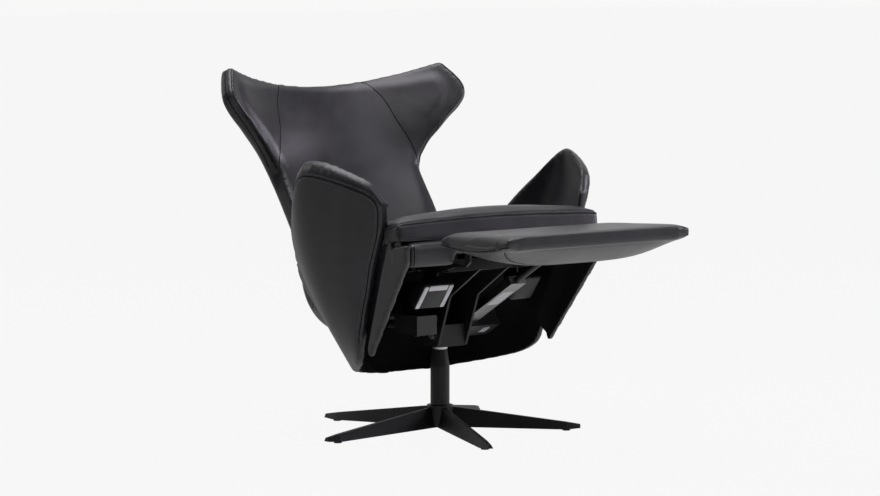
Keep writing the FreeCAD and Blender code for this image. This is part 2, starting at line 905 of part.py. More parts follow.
shaped(
    "footrest_cover",
    foot_slab(
        size("cover_front"), length - size("cover_end"), size("cover_half"), size("cover_half"),
        cover_top, cover_low,
    ),
)
arm_x = size("foot_arm_place")
arm_half = size("foot_arm_thick") / 2
foot_reach = size("foot_arm_reach")
heel_shares = (0.05, -0.225)
corner_shares = ((-0.9, -0.475), (0.2, None), (0.6, None), (0.6, -0.675), (0, -0.775))
arm_corners = [(a * foot_reach, cover_top if b is None else b * foot_reach) for a, b in corner_shares]
arm_heel = [share * foot_reach for share in heel_shares]
arm_outline = [foot_flat(a, b) for a, b in arm_corners]
arm_outline.append((foot_y + arm_heel[0], foot_z + arm_heel[1]))
sided(
    "footrest_arm",
    plate(
        arm_outline, arm_x - arm_half, arm_x + arm_half,
        [(foot_y, foot_z, size("foot_boss"))], [(foot_y, foot_z, size("foot_pin_radius") + size("run_gap"))],
    ),
)
hook_low = size("front_bar_width") / 2 + size("part_gap")
hook_shares = [
    (-0.324, 0.768), (-0.324, 0.81), (-0.43, 0.823), (-0.524, 0.823), (-0.528, 0.876), (-0.56, 0.876),
    (-0.56, 0.836), (-0.532, 0.812), (-0.45, 0.804),
]
hook_outline = [(y * size("seat_depth"), z * size("seat_height")) for y, z in hook_shares]
sided(
    "footrest_hinge_plate",
    plate(
        hook_outline, hook_low, hook_low + size("riser_thick"),
        [(foot_y, foot_z, size("foot_boss"))], [(foot_y, foot_z, size("foot_pin_radius"))],
    ),
)
foot_pins = []
for sign in (-1, 1):
    start = arm_x - arm_half - size("foot_pin_inside")
    end = hook_low + size("riser_thick") + size("pin_head")
    foot_pins.append(
        Part.makeCylinder(
            size("foot_pin_radius"), end - start, at(sign * start, foot_y, foot_z), V(sign, 0, 0)
        )
    )
shaped("footrest_hinge_pins", Part.makeCompound(foot_pins))

# Footrest actuator: motor and guide rail swing on a pin, the rod slides out to the lug under the board.
drive_x = size("drive_place")
lug_turn = math.radians(size("lug_angle"))
lug_y = foot_y + size("lug_reach") * math.cos(lug_turn)
lug_z = foot_z + size("lug_reach") * math.sin(lug_turn)
piv_y = size("drive_pivot_y")
piv_z = size("drive_pivot_z")
reach = math.hypot(lug_y - piv_y, lug_z - piv_z)
slope = math.degrees(math.atan2(lug_z - piv_z, piv_y - lug_y))
drive_turn = Rot(V(1, 0, 0), -slope)


def on_drive(x, along, up):
    """A point on the actuator: across, from its pivot towards the footrest, and square to it."""
    local = drive_turn.multVec(V(x, -along, up))
    return at(local.x, local.y + piv_y, local.z + piv_z)


motor_x = size("motor_side")
motor_box = box("footrest_motor_box", "Sizes.motor_length", "Sizes.motor_depth", "Sizes.motor_height")
motor_box.Placement = Place(on_drive(motor_x, size("motor_depth") / 2, -size("motor_height") / 2), drive_turn)
motor_hole = rod("footrest_motor_hole", "Sizes.drive_pin_radius + Sizes.run_gap", "Sizes.motor_hole_depth")
motor_hole.Placement = Place(at(motor_x, piv_y, piv_z), across)
keep("footrest_motor", cut("footrest_motor", motor_box, motor_hole))
rail_from = size("motor_depth") / 2
rail_to = rail_from + size("rail_profile_length")
profile = box(
    "rail_profile", "Sizes.rail_profile_width", "Sizes.rail_profile_length", "Sizes.rail_profile_depth"
)
profile.Placement = Place(
    on_drive(drive_x - size("rail_profile_width") / 2, rail_to, -size("rail_profile_depth") / 2), drive_turn
)
forwards = drive_turn.multVec(V(0, -1, 0))
drive_bore = rod("rail_bore", "Sizes.rod_radius + Sizes.run_gap", "Sizes.rail_profile_length")
drive_bore.Placement = Place(on_drive(drive_x, rail_from + size("bore_floor"), 0), Rot(V(0, 0, 1), forwards))
keep("footrest_guide_rail", cut("footrest_guide_rail", profile, drive_bore))
rod_start = rail_from + size("foot_rod_inside")
drive_rod = Part.makeCylinder(
    size("rod_radius"), reach - rod_start, on_drive(drive_x, rod_start, 0), forwards
)
drive_eye = Part.makeCylinder(
    eye_radius, eye_width, at(drive_x - eye_width / 2, lug_y, lug_z), V(1, 0, 0)
)
shaped("footrest_drive_rod", drive_rod.fuse(drive_eye).removeSplitter())
pivot = rod("footrest_pivot_pin", "Sizes.drive_pin_radius", "Sizes.drive_pin_length")
pivot.Placement = Place(at(hub_half + size("riser_thick"), piv_y, piv_z), across)
keep("footrest_pivot_pin", pivot)
lug_shares = ((0.25, None), (0.6, None), (0.175, -1.1))
lug_corners = [(a * foot_reach, board_low if b is None else b * foot_reach) for a, b in lug_shares]
lug_outline = [foot_flat(a, b) for a, b in lug_corners]
lug_solids = []
for sign in (-1, 1):
    x_low = drive_x + sign * cheek_place - size("cheek_thick") / 2
    x_high = x_low + size("cheek_thick")
    cheek = plate(lug_outline + [(lug_y, lug_z)], x_low, x_high, [(lug_y, lug_z, eye_radius)])
    stub_from = drive_x + sign * (cheek_place - size("cheek_thick") / 2)
    stub = Part.makeCylinder(
        size("stub_radius"), size("stub_length"), at(stub_from, lug_y, lug_z), V(-sign, 0, 0)
    )
    lug_solids.append(cheek.fuse(stub).removeSplitter())
shaped("footrest_drive_lug", Part.makeCompound(lug_solids))

# Battery and control box hang from the seat rails.
bay_turn = Rot(V(1, 0, 0), -size("hang_slope"))


def hung(name, prefix):
    item = box(name, f"Sizes.{prefix}_width", f"Sizes.{prefix}_length", f"Sizes.{prefix}_thick")
    long_half = size(f"{prefix}_length") / 2
    thick_half = size(f"{prefix}_thick") / 2
    corner = bay_turn.multVec(V(0, -long_half, -thick_half))
    place = "battery" if prefix == "battery" else name
    x = size(f"{place}_x")
    y = size(f"{place}_y")
    z = size(f"{place}_z")
    item.Placement = Place(at(x - size(f"{prefix}_width") / 2, y + corner.y, z + corner.z), bay_turn)
    keep(name, item)
    outline = []
    for end in (long_half, -long_half):
        local = bay_turn.multVec(V(0, end, thick_half))
        outline.append((y + local.y, z + local.z))
    for spot in (y + size("hang_front"), y + size("hang_rear")):
        under_rail = size("pan_height") + rail_low / math.cos(tilt) - spot * math.tan(tilt)
        outline.append((spot, under_rail - size("run_gap")))
    hang_x = size(f"{place}_hang_x")
    shaped(f"{name}_bracket", plate(outline, hang_x, hang_x + size("hang_thick")))


hung("battery_pack", "battery")
hung("control_box", "box")

# Control plate and push buttons on the outside of the left side wall.
wall_turn = Rot(V(0, 1, 0), math.degrees(math.atan(wall_lean)))
plate_mid_y = size("plate_y")
plate_mid_z = size("plate_z")
normal = wall_turn.multVec(V(1, 0, 0))
wall_spot = V(wall_half(plate_mid_z), plate_mid_y, plate_mid_z)


def on_wall(out, along, up):
    local = wall_turn.multVec(V(out, along, up)) + wall_spot
    return at(local.x, local.y, local.z)


face = box("control_face", "Sizes.plate_thick", "Sizes.plate_length", "Sizes.plate_width")
face.Placement = Place(
    on_wall(size("plate_gap"), -size("plate_length") / 2, -size("plate_width") / 2), wall_turn
)
wells = []
buttons = ("button_back_up", "button_back_down", "button_foot_out", "button_foot_in")
for n, name in enumerate(buttons):
    along = (n - 1.5) * size("button_pitch")
    outwards = Rot(V(0, 0, 1), normal)
    well = rod(name + "_well", "Sizes.button_radius + Sizes.part_gap", "2 * Sizes.plate_thick")
    well.Placement = Place(on_wall(size("well_start"), along, 0), outwards)
    wells.append(well)
    button = rod(name, "Sizes.button_radius", "Sizes.button_height")
    button.Placement = Place(on_wall(size("button_seat"), along, 0), outwards)
    keep(name, button)
keep("control_plate", cut("control_plate", face, fuse("control_wells", wells)))

doc.recompute()
os.makedirs("parts", exist_ok=True)
for item in doc.Objects:
    if "Invalid" in item.State or "Error" in item.State:
        raise RuntimeError(f"{item.Label} has state {item.State}")
for name, item in made.items():
    shape = item.Shape
    if shape.isNull() or not shape.isValid() or not shape.Solids:
        raise RuntimeError(f"{name} has no valid solid")
    shape.exportStep(f"parts/{name}.step")
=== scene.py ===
import json
import math

import bmesh
import bpy
import numpy as np
from bpy.props import FloatProperty, FloatVectorProperty, IntProperty, PointerProperty
from mathutils import Matrix, Vector
from mathutils.bvhtree import BVHTree
from mathutils.kdtree import KDTree


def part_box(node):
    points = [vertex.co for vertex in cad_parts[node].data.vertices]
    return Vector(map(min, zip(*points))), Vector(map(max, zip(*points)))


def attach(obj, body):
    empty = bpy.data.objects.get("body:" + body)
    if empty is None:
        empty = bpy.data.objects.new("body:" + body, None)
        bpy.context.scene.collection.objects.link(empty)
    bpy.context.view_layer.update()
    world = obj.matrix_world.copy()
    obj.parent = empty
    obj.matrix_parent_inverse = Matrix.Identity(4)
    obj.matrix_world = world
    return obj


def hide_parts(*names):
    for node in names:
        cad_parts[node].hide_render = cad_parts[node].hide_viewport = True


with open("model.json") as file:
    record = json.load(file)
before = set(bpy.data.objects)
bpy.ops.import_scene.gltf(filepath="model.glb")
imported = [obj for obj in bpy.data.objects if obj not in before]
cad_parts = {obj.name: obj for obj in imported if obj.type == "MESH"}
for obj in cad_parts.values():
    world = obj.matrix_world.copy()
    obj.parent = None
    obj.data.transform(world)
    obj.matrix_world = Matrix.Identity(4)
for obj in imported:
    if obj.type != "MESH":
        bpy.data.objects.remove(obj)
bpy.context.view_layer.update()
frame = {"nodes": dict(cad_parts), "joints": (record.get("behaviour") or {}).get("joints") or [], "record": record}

bl_info = {
    "name": "Winged recliner",
    "version": (1, 0, 0),
    "blender": (4, 5, 0),
    "location": "3D View > Sidebar > Recliner",
    "description": "Upholstery, stitching, finishes and studio for a winged recliner",
    "category": "Object",
}

SIDES = (("left", 1), ("right", -1))


def joint_place(name):
    return Vector(next(j["pos_m"] for j in frame["joints"] if j["name"] == name))


AXIS = joint_place("swivel")

# Lengths are in metres and angles in radians. The rest are shares, factors and counts.
WELD = 1e-5
SHARP_EDGE = math.radians(38)
CORNER_TURN = math.radians(50)
LINE_STEP = 0.006
SMOOTHING = 0.5

# Filling of the padded pieces.
CLOTH_QUALITY = 4
CLOTH_STIFFNESS = 12.0
CLOTH_BENDING = 0.5
REAR_FACING = 0.3
SWELL_ROUNDS = 14

# Seams, stitches, cords and the lining.
GROOVE_POINTS = 3
SHORT_STITCH = 3
THREAD_FLATNESS = 0.8
THREAD_RISE = 0.35
CORD_ROUNDNESS = 3
CORD_STEP = 4
CORD_ORDER = 4
CORD_RESOLUTION = 2
# Share of the seam cord's radius sunk below the surface; this near-black cord is painted seam shadow.
SHADOW_CORD_SINK = 0.4
LINING_TOP = 0.43
LINING_FACING = 0.25

# Finishes. Clouds and marks are a scale and a detail, bumps a depth and a strength.
LEATHER_CLOUD = (6, 3)
LEATHER_FOLDS = 5
LEATHER_TONES = (0.12, 0.42)
LEATHER_SHEEN = (0.3, 0.75)
LEATHER_GLOSS = (-0.03, 0.05)
LEATHER_SHINE = 0.5
CREASE_BUMP = (0.0012, 0.14)
PEBBLE_BUMP = (0.0003, 0.5)
PAINT_SHINE = 0.5
PAINT_GRAIN = 0.0012
PAINT_CLOUD = (9, 3)
PAINT_TONES = (0.35, 0.7)
PAINT_GLOSS = (-0.06, 0.08)
PAINT_BUMP = (0.0001, 0.6)
SPECK_DETAIL = 2
SPECK_SPAN = (0.3, 0.7)
FINE_GRAIN = 0.0006
BRUSH_MARKS = (700, 3)
BRUSH_GLOSS = (-0.07, 0.08)
BRUSH_BUMP = (0.00008, 0.5)
BRUSHED_ALONG = (1, 0.05, 1)
THREAD_SHADE = 0.6

# Studio.
SENSOR_MM = 36
SIGHT = 60
FLOOR_HALF = 40
FLOOR_ROUGHNESS = 0.9
FLOOR_SHINE = 0.1
FLOOR_PLAIN = 0.985
FLOOR_DIM = 0.45
FLOOR_SPAN = (-0.6, 0.3)
PICTURE_RIGHT = (0.79, -0.61, 0)
WALL_DIRECTION = (0.15, 0.93, 0.3)
WALL_SPAN = (0.1, 0.75)
FILL_COLOUR = (0.75, 0.76, 0.8, 1)
FILL_STRENGTH = 0.045
LAMPS = (
    {"name": "overhead", "place": (0.1, 0, 3.0), "target": (0, -0.1, 0.4),
     "size": 2.2, "power": 66, "colour": (0.97, 0.95, 1.0)},
    {"name": "front_right", "place": (3.6, -1.6, 1.6), "target": (0, 0, 0.55),
     "size": 1.6, "power": 62, "colour": (0.92, 0.88, 1.0)},
    {"name": "high_front", "place": (0.9, -2.4, 2.6), "target": (0.1, 0, 0.55),
     "size": 1.4, "power": 14, "colour": (0.95, 0.93, 1.0)},
    {"name": "rear_left", "place": (-2.7, 2.0, 2.4), "target": (0.3, 0, 0.5),
     "size": 2.0, "power": 14, "colour": (1.0, 1.0, 1.0)},
)

# Tub. A rounding is a reach and a number of rounds.
TUB_SWELL = 0.0008
TUB_ROUNDS = 4
ARM_TOP_ROUNDING = (0.03, 5)
ARM_END_ROUNDING = (0.05, 5)
ARM_EDGE_RUN = 0.25
ARM_SEAM_CUT = 4
ARM_SEAM_ROUNDS = 14
ARM_SEAM_DEPTH = 0.7
ARM_FRONT_LEVELS = (0.21, 0.5)
ARM_FRONT_REAR = 0.1
ARM_FRONT_OUT = (0.6, 0.8)
SLICE = 0.02
CORNER_POINTS = 9
CORNER_DEPTH = 0.3
CORNER_WIDTH = 2
DOME_REACH = 0.06
DOME_INSET = 0.8
DOME_POWER = 0.7
LEAST_DROP = 1e-4
LEVER_SIDE = 0.012
LEVER_FADE = 0.04
LEVER_INNER = 0.6
LEVER_DEPTH = 0.04
PANEL_ROUNDS = 6
PANEL_START = 0.05
PANEL_DROP = 0.03
PANEL_SLOPE = 0.13
PANEL_BLEND = 0.025
PANEL_LIFT = 0.03
PANEL_RAMP = 0.012
PANEL_FRONT = 0.13
FLARE_RAMP = 0.03

# Seat. A cap is the most that a point may swell.
SEAT_MIDDLE = 0.15
SEAT_WIDEN_RAMP = 0.05
SEAT_BACK_RAMP = 0.1
SEAT_ROUNDS = 7
SEAT_CAP = 0.014
SEAT_EDGE_LEVEL = 0.46
SEAT_EDGE_RUN = 0.3
PIPING_DROP = 0.004
PIPING_LIFT = 0.0006
ROLL_ROUNDS = 6
ROLL_CAP = 0.008
ROLL_INSET = 0.007
ROLL_POINTS = 8
ROLL_STITCH = 0.6
ROLL_SEAM_DEPTH = 0.6

# Back.
BACK_SWELL = 0.0036
BACK_ROUNDS = 13
BACK_CAP = 0.007
BACK_REARWARD = 0.2
BACK_EDGE_RUN = 0.12
BACK_EDGE_DEPTH = 0.4
PAD_OUTER = 0.19
PAD_EDGE_TOP = 0.6
WING_OUTER = 0.22
WING_SEAM_RUN = 0.2
WING_SEAM_DEPTH = 0.6

# Footrest.
FOOT_ROUNDS = 6
FOOT_CAP = 0.006
FOOT_ROUNDING = (0.04, 14)
HULL_ROUNDS = 3
HULL_ROUNDING = (0.045, 12)
HULL_GRID = (26, 18)
HULL_TOP = -0.002
HULL_LEVEL = -0.008
HULL_ACROSS = 4
KEEL_RISE = 2.5
KEEL_FALL = 0.8
LENS_POINTS = 40
LENS_POWER = 8
SIDE_SAG = 0.017
SIDE_POINTS = 20
HULL_SEAM_DEPTH = 0.7

# Bay under the seat.
BAY_VIEW = Vector((-0.2, -0.8, -0.56))
NORMAL_DIGITS = 2
OUTLINE_FOLD = 0.5
LABEL_THICK = 0.0008
LABEL_CORNER = 0.002
LABEL_SEGMENTS = 3
LABEL_UPRIGHT = 0.9
CASE_FLAT = 0.02
CASE_EDGE = 0.015
CASE_FOLD = 0.8
CASE_SEGMENTS = 4
ROUND_PROFILE = 0.5
BATTERY_ROUNDING = 0.004
CONTROL_ROUNDING = 0.009


class LeatherLook(bpy.types.PropertyGroup):
    # The dark tone lands in the hollows of the creases and the light tone on their high spots: partly painted
    # shade in the creases, partly random cloudy tone.
    dark: FloatVectorProperty(
        name="Dark tone", description="Leather colour in its hollows",
        subtype="COLOR", size=4, min=0, max=1, default=(0.015, 0.0142, 0.0162, 1),
    )
    light: FloatVectorProperty(
        name="Light tone", description="Leather colour on its high spots",
        subtype="COLOR", size=4, min=0, max=1, default=(0.027, 0.0252, 0.0292, 1),
    )
    thread: FloatVectorProperty(
        name="Thread", description="Colour of the stitching",
        subtype="COLOR", size=4, min=0, max=1, default=(0.15, 0.145, 0.16, 1),
    )
    grain: FloatProperty(
        name="Grain", description="Size of one pebble of the grain",
        unit="LENGTH", min=0.0002, max=0.01, default=0.0013,
    )
    crease: FloatProperty(
        name="Crease", description="Spacing of the soft creases",
        unit="LENGTH", min=0.005, max=0.2, default=0.045,
    )
    roughness: FloatProperty(
        name="Roughness", description="Roughness of the satin finish",
        subtype="FACTOR", min=0, max=1, default=0.37,
    )


class SeamSizes(bpy.types.PropertyGroup):
    stitch: FloatProperty(
        name="Stitch", description="Length of one stitch",
        unit="LENGTH", min=0.001, max=0.02, default=0.0046,
    )
    pitch: FloatProperty(
        name="Pitch", description="Distance from one stitch to the next",
        unit="LENGTH", min=0.002, max=0.03, default=0.0066,
    )
    thread: FloatProperty(
        name="Thread", description="Radius of the thread",
        unit="LENGTH", min=0.0002, max=0.003, default=0.0008,
    )
    offset: FloatProperty(
        name="Offset", description="Distance from the seam to its topstitching",
        unit="LENGTH", min=0.001, max=0.02, default=0.0055,
    )
    piping: FloatProperty(
        name="Piping", description="Radius of the piping cord in an edge",
        unit="LENGTH", min=0.0005, max=0.006, default=0.0019,
    )
    # Radius of the near-black cord in each seam, which is painted shade standing for the shadow in the seam's
    # groove.
    shadow_cord: FloatProperty(
        name="Welt", description="Radius of the dark welt in a seam",
        unit="LENGTH", min=0.0003, max=0.004, default=0.0013,
    )
    groove: FloatProperty(
        name="Groove", description="Depth that a seam is drawn in",
        unit="LENGTH", min=0, max=0.01, default=0.0026,
    )
    groove_width: FloatProperty(
        name="Groove width", description="Half width of the hollow along a seam",
        unit="LENGTH", min=0.001, max=0.03, default=0.006,
    )


class SoftSizes(bpy.types.PropertyGroup):
    voxel: FloatProperty(
        name="Voxel", description="Mesh size of the padded pieces",
        unit="LENGTH", min=0.002, max=0.02, default=0.0055,
    )
    thin_voxel: FloatProperty(
        name="Thin voxel", description="Mesh size of the thin covers",
        unit="LENGTH", min=0.002, max=0.02, default=0.0042,
    )
    tub_voxel: FloatProperty(
        name="Tub voxel", description="Mesh size of the cover of the tub",
        unit="LENGTH", min=0.002, max=0.02, default=0.006,
    )
    strip: FloatProperty(
        name="Arm strip", description="Depth of the strip along the top of an arm",
        unit="LENGTH", min=0, max=0.06, default=0.026,
    )
    arm_top: FloatProperty(
        name="Arm top", description="Thickness of an arm along its top",
        unit="LENGTH", min=0.01, max=0.1, default=0.033,
    )
    arm_corner: FloatProperty(
        name="Arm corner", description="Rounding of the upper front corner of an arm",
        unit="LENGTH", min=0.002, max=0.1, default=0.07,
    )
    arm_lift: FloatProperty(
        name="Arm lift", description="Rise of the padding along the top of an arm",
        unit="LENGTH", min=0, max=0.03, default=0.008,
    )
    edge_strip: FloatProperty(
        name="Edge strip", description="Width of the strip along the front of an arm",
        unit="LENGTH", min=0, max=0.06, default=0.005,
    )
    clearance: FloatProperty(
        name="Clearance",
        description="Room between the tub and the swing of the back's drive lever",
        unit="LENGTH", min=0, max=0.02, default=0.003,
    )
    arm_rake: FloatProperty(
        name="Arm rake",
        description="How far the front edge of an arm falls back for each metre down",
        min=0, max=2, default=0.42,
    )
    panel_flare: FloatProperty(
        name="Panel flare", description="How far a side panel stands out in front of the arm",
        unit="LENGTH", min=0, max=0.06, default=0.024,
    )
    seat_flare: FloatProperty(
        name="Seat flare", description="Where the seat starts to widen in front of the arms",
        unit="LENGTH", default=-0.095,
    )
    seat_widen: FloatProperty(
        name="Seat widening", description="Widening of the outer part of the seat's front",
        subtype="FACTOR", min=0, max=1, default=0.24,
    )
    seat_back: FloatProperty(
        name="Seat set back", description="How far the front of the seat is drawn back",
        unit="LENGTH", min=0, max=0.05, default=0.015,
    )
    keel: FloatProperty(
        name="Keel", description="Share of the footrest's length where its hull is deepest",
        subtype="FACTOR", min=0.1, max=0.95, default=0.7,
    )
    hull: FloatProperty(
        name="Hull", description="Fullness of the hull under the footrest",
        unit="LENGTH", min=0, max=0.1, default=0.037,
    )
    hull_rim: FloatProperty(
        name="Hull rim", description="Depth of the hull at its corners",
        unit="LENGTH", min=0, max=0.1, default=0.01,
    )
    foot_knee: FloatProperty(
        name="Knee half width", description="Half width of the footrest by the seat",
        unit="LENGTH", default=0.2475,
    )
    foot_end: FloatProperty(
        name="End half width", description="Half width of the footrest at its end",
        unit="LENGTH", default=0.2625,
    )
    foot_length: FloatProperty(
        name="Footrest length", description="Length of the footrest", unit="LENGTH", default=0.257,
    )
    foot_middle: FloatProperty(
        name="Footrest middle",
        description="Height of the middle of the cushion above its lowest point",
        unit="LENGTH", default=0.013,
    )
    foot_rise: FloatProperty(
        name="Footrest rise", description="Rise of the footrest towards its end",
        subtype="ANGLE", default=math.radians(2.7),
    )
    pressure: FloatProperty(
        name="Pressure", description="Filling pressure of the padded pieces",
        min=0, max=50, default=4,
    )
    frames: IntProperty(
        name="Frames", description="Steps of the filling", min=2, max=100, default=20,
    )


class StageSettings(bpy.types.PropertyGroup):
    azimuth: FloatProperty(
        name="Azimuth", description="Turn of the camera round the chair",
        subtype="ANGLE", default=math.radians(-38),
    )
    distance: FloatProperty(
        name="Distance", description="Level distance from the swivel axis to the camera",
        unit="LENGTH", default=7.3,
    )
    height: FloatProperty(
        name="Height", description="Height of the camera", unit="LENGTH", default=1.103,
    )
    pitch: FloatProperty(
        name="Pitch", description="How far the camera looks down",
        subtype="ANGLE", default=math.radians(5.34),
    )
    lens: FloatProperty(
        name="Lens", description="Focal length in millimetres", default=131.6,
    )
    reflected: FloatProperty(
        name="Reflected", description="Share of the backdrop that reflections show",
        subtype="FACTOR", min=0, max=1, default=0.75,
    )
    floor_reflected: FloatProperty(
        name="Floor reflected",
        description="Share of the floor's plain colour that reflections show",
        subtype="FACTOR", min=0, max=1, default=1.0,
    )
    backdrop: FloatVectorProperty(
        name="Backdrop", description="Colour of the floor and backdrop",
        subtype="COLOR", size=4, min=0, max=1, default=(0.935, 0.935, 0.935, 1),
    )


class ReclinerSettings(bpy.types.PropertyGroup):
    leather: PointerProperty(type=LeatherLook)
    seams: PointerProperty(type=SeamSizes)
    soft: PointerProperty(type=SoftSizes)
    stage: PointerProperty(type=StageSettings)


def settings():
    return bpy.context.scene.recliner


def linked(name, mesh):
    piece = bpy.data.objects.new(name, mesh)
    bpy.context.scene.collection.objects.link(piece)
    return piece


def mesh_of(bm, name):
    mesh = bpy.data.meshes.new(name)
    bm.to_mesh(mesh)
    bm.free()
    return mesh


def smooth_shaded(piece):
    piece.data.shade_smooth()
    return piece


def settle(piece):
    """Applies a piece's modifiers to its mesh."""
    graph = bpy.context.evaluated_depsgraph_get()
    mesh = bpy.data.meshes.new_from_object(piece.evaluated_get(graph))
    piece.modifiers.clear()
    piece.data = mesh
    return piece


# Materials.
def start_material(name):
    material = bpy.data.materials.new(name)
    material.use_nodes = True
    shader = material.node_tree.nodes["Principled BSDF"]
    return material, material.node_tree, shader


def node(tree, kind, sockets=None, **options):
    made = tree.nodes.new(kind)
    for option, value in options.items():
        setattr(made, option, value)
    for socket, value in (sockets or {}).items():
        if hasattr(value, "is_output"):
            tree.links.new(value, made.inputs[socket])
        else:
            made.inputs[socket].default_value = value
    return made


def maths(tree, operation, first, second):
    return node(tree, "ShaderNodeMath", {0: first, 1: second}, operation=operation).outputs[0]


def share_along(tree, place, direction, span, values):
    """How far a place lies along a direction, mapped from a span to a range of values."""
    along = node(tree, "ShaderNodeVectorMath", {0: place, 1: direction}, operation="DOT_PRODUCT")
    sockets = {"Value": along.outputs["Value"], "From Min": span[0], "From Max": span[1]}
    sockets.update({"To Min": values[0], "To Max": values[1]})
    return node(tree, "ShaderNodeMapRange", sockets).outputs[0]


def ramp(tree, source, low, high, low_colour, high_colour):
    made = node(tree, "ShaderNodeValToRGB", {"Fac": source})
    made.color_ramp.elements[0].position = low
    made.color_ramp.elements[1].position = high
    made.color_ramp.elements[0].color = low_colour
    made.color_ramp.elements[1].color = high_colour
    return made.outputs["Color"]


def grey(value):
    return (value, value, value, 1)


def object_coordinates(tree):
    return node(tree, "ShaderNodeTexCoord").outputs["Object"]


def noise(tree, place, scale, detail):
    sockets = {"Vector": place, "Scale": scale, "Detail": detail}
    return node(tree, "ShaderNodeTexNoise", sockets).outputs["Fac"]


def bump(tree, height, distance, strength, under=None):
    sockets = {"Height": height, "Distance": distance, "Strength": strength}
    if under is not None:
        sockets["Normal"] = under
    return node(tree, "ShaderNodeBump", sockets).outputs["Normal"]


def gloss(tree, source, span, roughness, changes):
    """Roughness that varies a little with a source."""
    low, high = (grey(roughness + change) for change in changes)
    return ramp(tree, source, *span, low, high)


def surfaced(tree, shader, colour, rough, normal):
    """Links a shader's colour, roughness and normal."""
    for socket, source in (("Base Color", colour), ("Roughness", rough), ("Normal", normal)):
        tree.links.new(source, shader.inputs[socket])


def leather_material(name):
    look = settings().leather
    material, tree, shader = start_material(name)
    place = object_coordinates(tree)
    pebble = node(
        tree, "ShaderNodeTexVoronoi", {"Vector": place, "Scale": 1 / look.grain},
        feature="SMOOTH_F1",
    ).outputs["Distance"]
    fold = noise(tree, place, 1 / look.crease, LEATHER_FOLDS)
    # The tone follows the crease noise that also raises the crease bump, times random clouds, so the crease
    # hollows get painted shade.
    tone = maths(tree, "MULTIPLY", fold, noise(tree, place, *LEATHER_CLOUD))
    creased = bump(tree, fold, *CREASE_BUMP)
    surfaced(
        tree, shader,
        ramp(tree, tone, *LEATHER_TONES, look.dark, look.light),
        gloss(tree, fold, LEATHER_SHEEN, look.roughness, LEATHER_GLOSS),
        bump(tree, pebble, *PEBBLE_BUMP, creased),
    )
    shader.inputs["Specular IOR Level"].default_value = LEATHER_SHINE
    return material


def speckled_material(name, dark, light, roughness, shine=PAINT_SHINE, grain=PAINT_GRAIN):
    """Paint, moulded plastic or rubber with a fine speckle."""
    material, tree, shader = start_material(name)
    place = object_coordinates(tree)
    speck = noise(tree, place, 1 / grain, SPECK_DETAIL)
    surfaced(
        tree, shader,
        ramp(tree, noise(tree, place, *PAINT_CLOUD), *PAINT_TONES, dark, light),
        gloss(tree, speck, SPECK_SPAN, roughness, PAINT_GLOSS),
        bump(tree, speck, *PAINT_BUMP),
    )
    shader.inputs["Specular IOR Level"].default_value = shine
    return material


def brushed_material(name, dark, light, roughness, stretch=(1, 1, 1)):
    """Bare metal with brush marks drawn out along one axis."""
    material, tree, shader = start_material(name)
    place = node(
        tree, "ShaderNodeMapping", {"Vector": object_coordinates(tree), "Scale": stretch}
    ).outputs["Vector"]
    marks = noise(tree, place, *BRUSH_MARKS)
    surfaced(
        tree, shader,
        ramp(tree, marks, *SPECK_SPAN, dark, light),
        gloss(tree, marks, SPECK_SPAN, roughness, BRUSH_GLOSS),
        bump(tree, marks, *BRUSH_BUMP),
    )
    shader.inputs["Metallic"].default_value = 1
    return material


def finishes():
    """Every finish of the chair, made once."""
    if bpy.data.materials.get("charcoal_leather") is None:
        thread = tuple(settings().leather.thread)
        darker = tuple(THREAD_SHADE * c for c in thread[:3]) + (1,)
        fine = {"grain": FINE_GRAIN}
        leather_material("charcoal_leather")
        speckled_material("tonal_thread", darker, thread, roughness=0.6, **fine)
        # Near-black cord laid in the seams: painted shade for the shadow in their grooves.
        speckled_material("seam_shadow_cord", grey(0.003), grey(0.005), roughness=0.85, shine=0.15, **fine)
        speckled_material("black_lining", grey(0.008), grey(0.012), roughness=0.95, shine=0.1)
        speckled_material("black_board", grey(0.006), grey(0.012), roughness=0.65)
        speckled_material("black_paint", grey(0.008), grey(0.012), roughness=0.46, shine=0.35)
        speckled_material("black_plastic", grey(0.006), grey(0.011), roughness=0.4, shine=0.4)
        speckled_material("grey_plastic", grey(0.024), grey(0.036), roughness=0.4)
        speckled_material("blank_label", grey(0.7), grey(0.82), roughness=0.5)
        speckled_material("foot_rubber", grey(0.006), grey(0.01), roughness=0.75)
        brushed_material("bright_steel", grey(0.5), grey(0.72), roughness=0.22)
        brushed_material(
            "satin_aluminium", grey(0.24), grey(0.36), roughness=0.38, stretch=BRUSHED_ALONG,
        )
    return bpy.data.materials


def painted(piece, name):
    piece.data.materials.clear()
    piece.data.materials.append(finishes()[name])
    return piece


# Shapes taken from the frame.
def merged(name):
    """A welded copy of a CAD node's mesh."""
    bm = bmesh.new()
    bm.from_mesh(frame["nodes"][name].data)
    bmesh.ops.remove_doubles(bm, verts=bm.verts, dist=WELD)
    return bm


def joined(names, swell):
    """Welded copies of several CAD nodes in one mesh, each a little fuller so that they meet."""
    whole = bmesh.new()
    for name in names:
        bm = merged(name)
        bm.normal_update()
        for vert in bm.verts:
            vert.co += vert.normal * swell
        mesh = mesh_of(bm, name)
        whole.from_mesh(mesh)
        bpy.data.meshes.remove(mesh)
    return whole


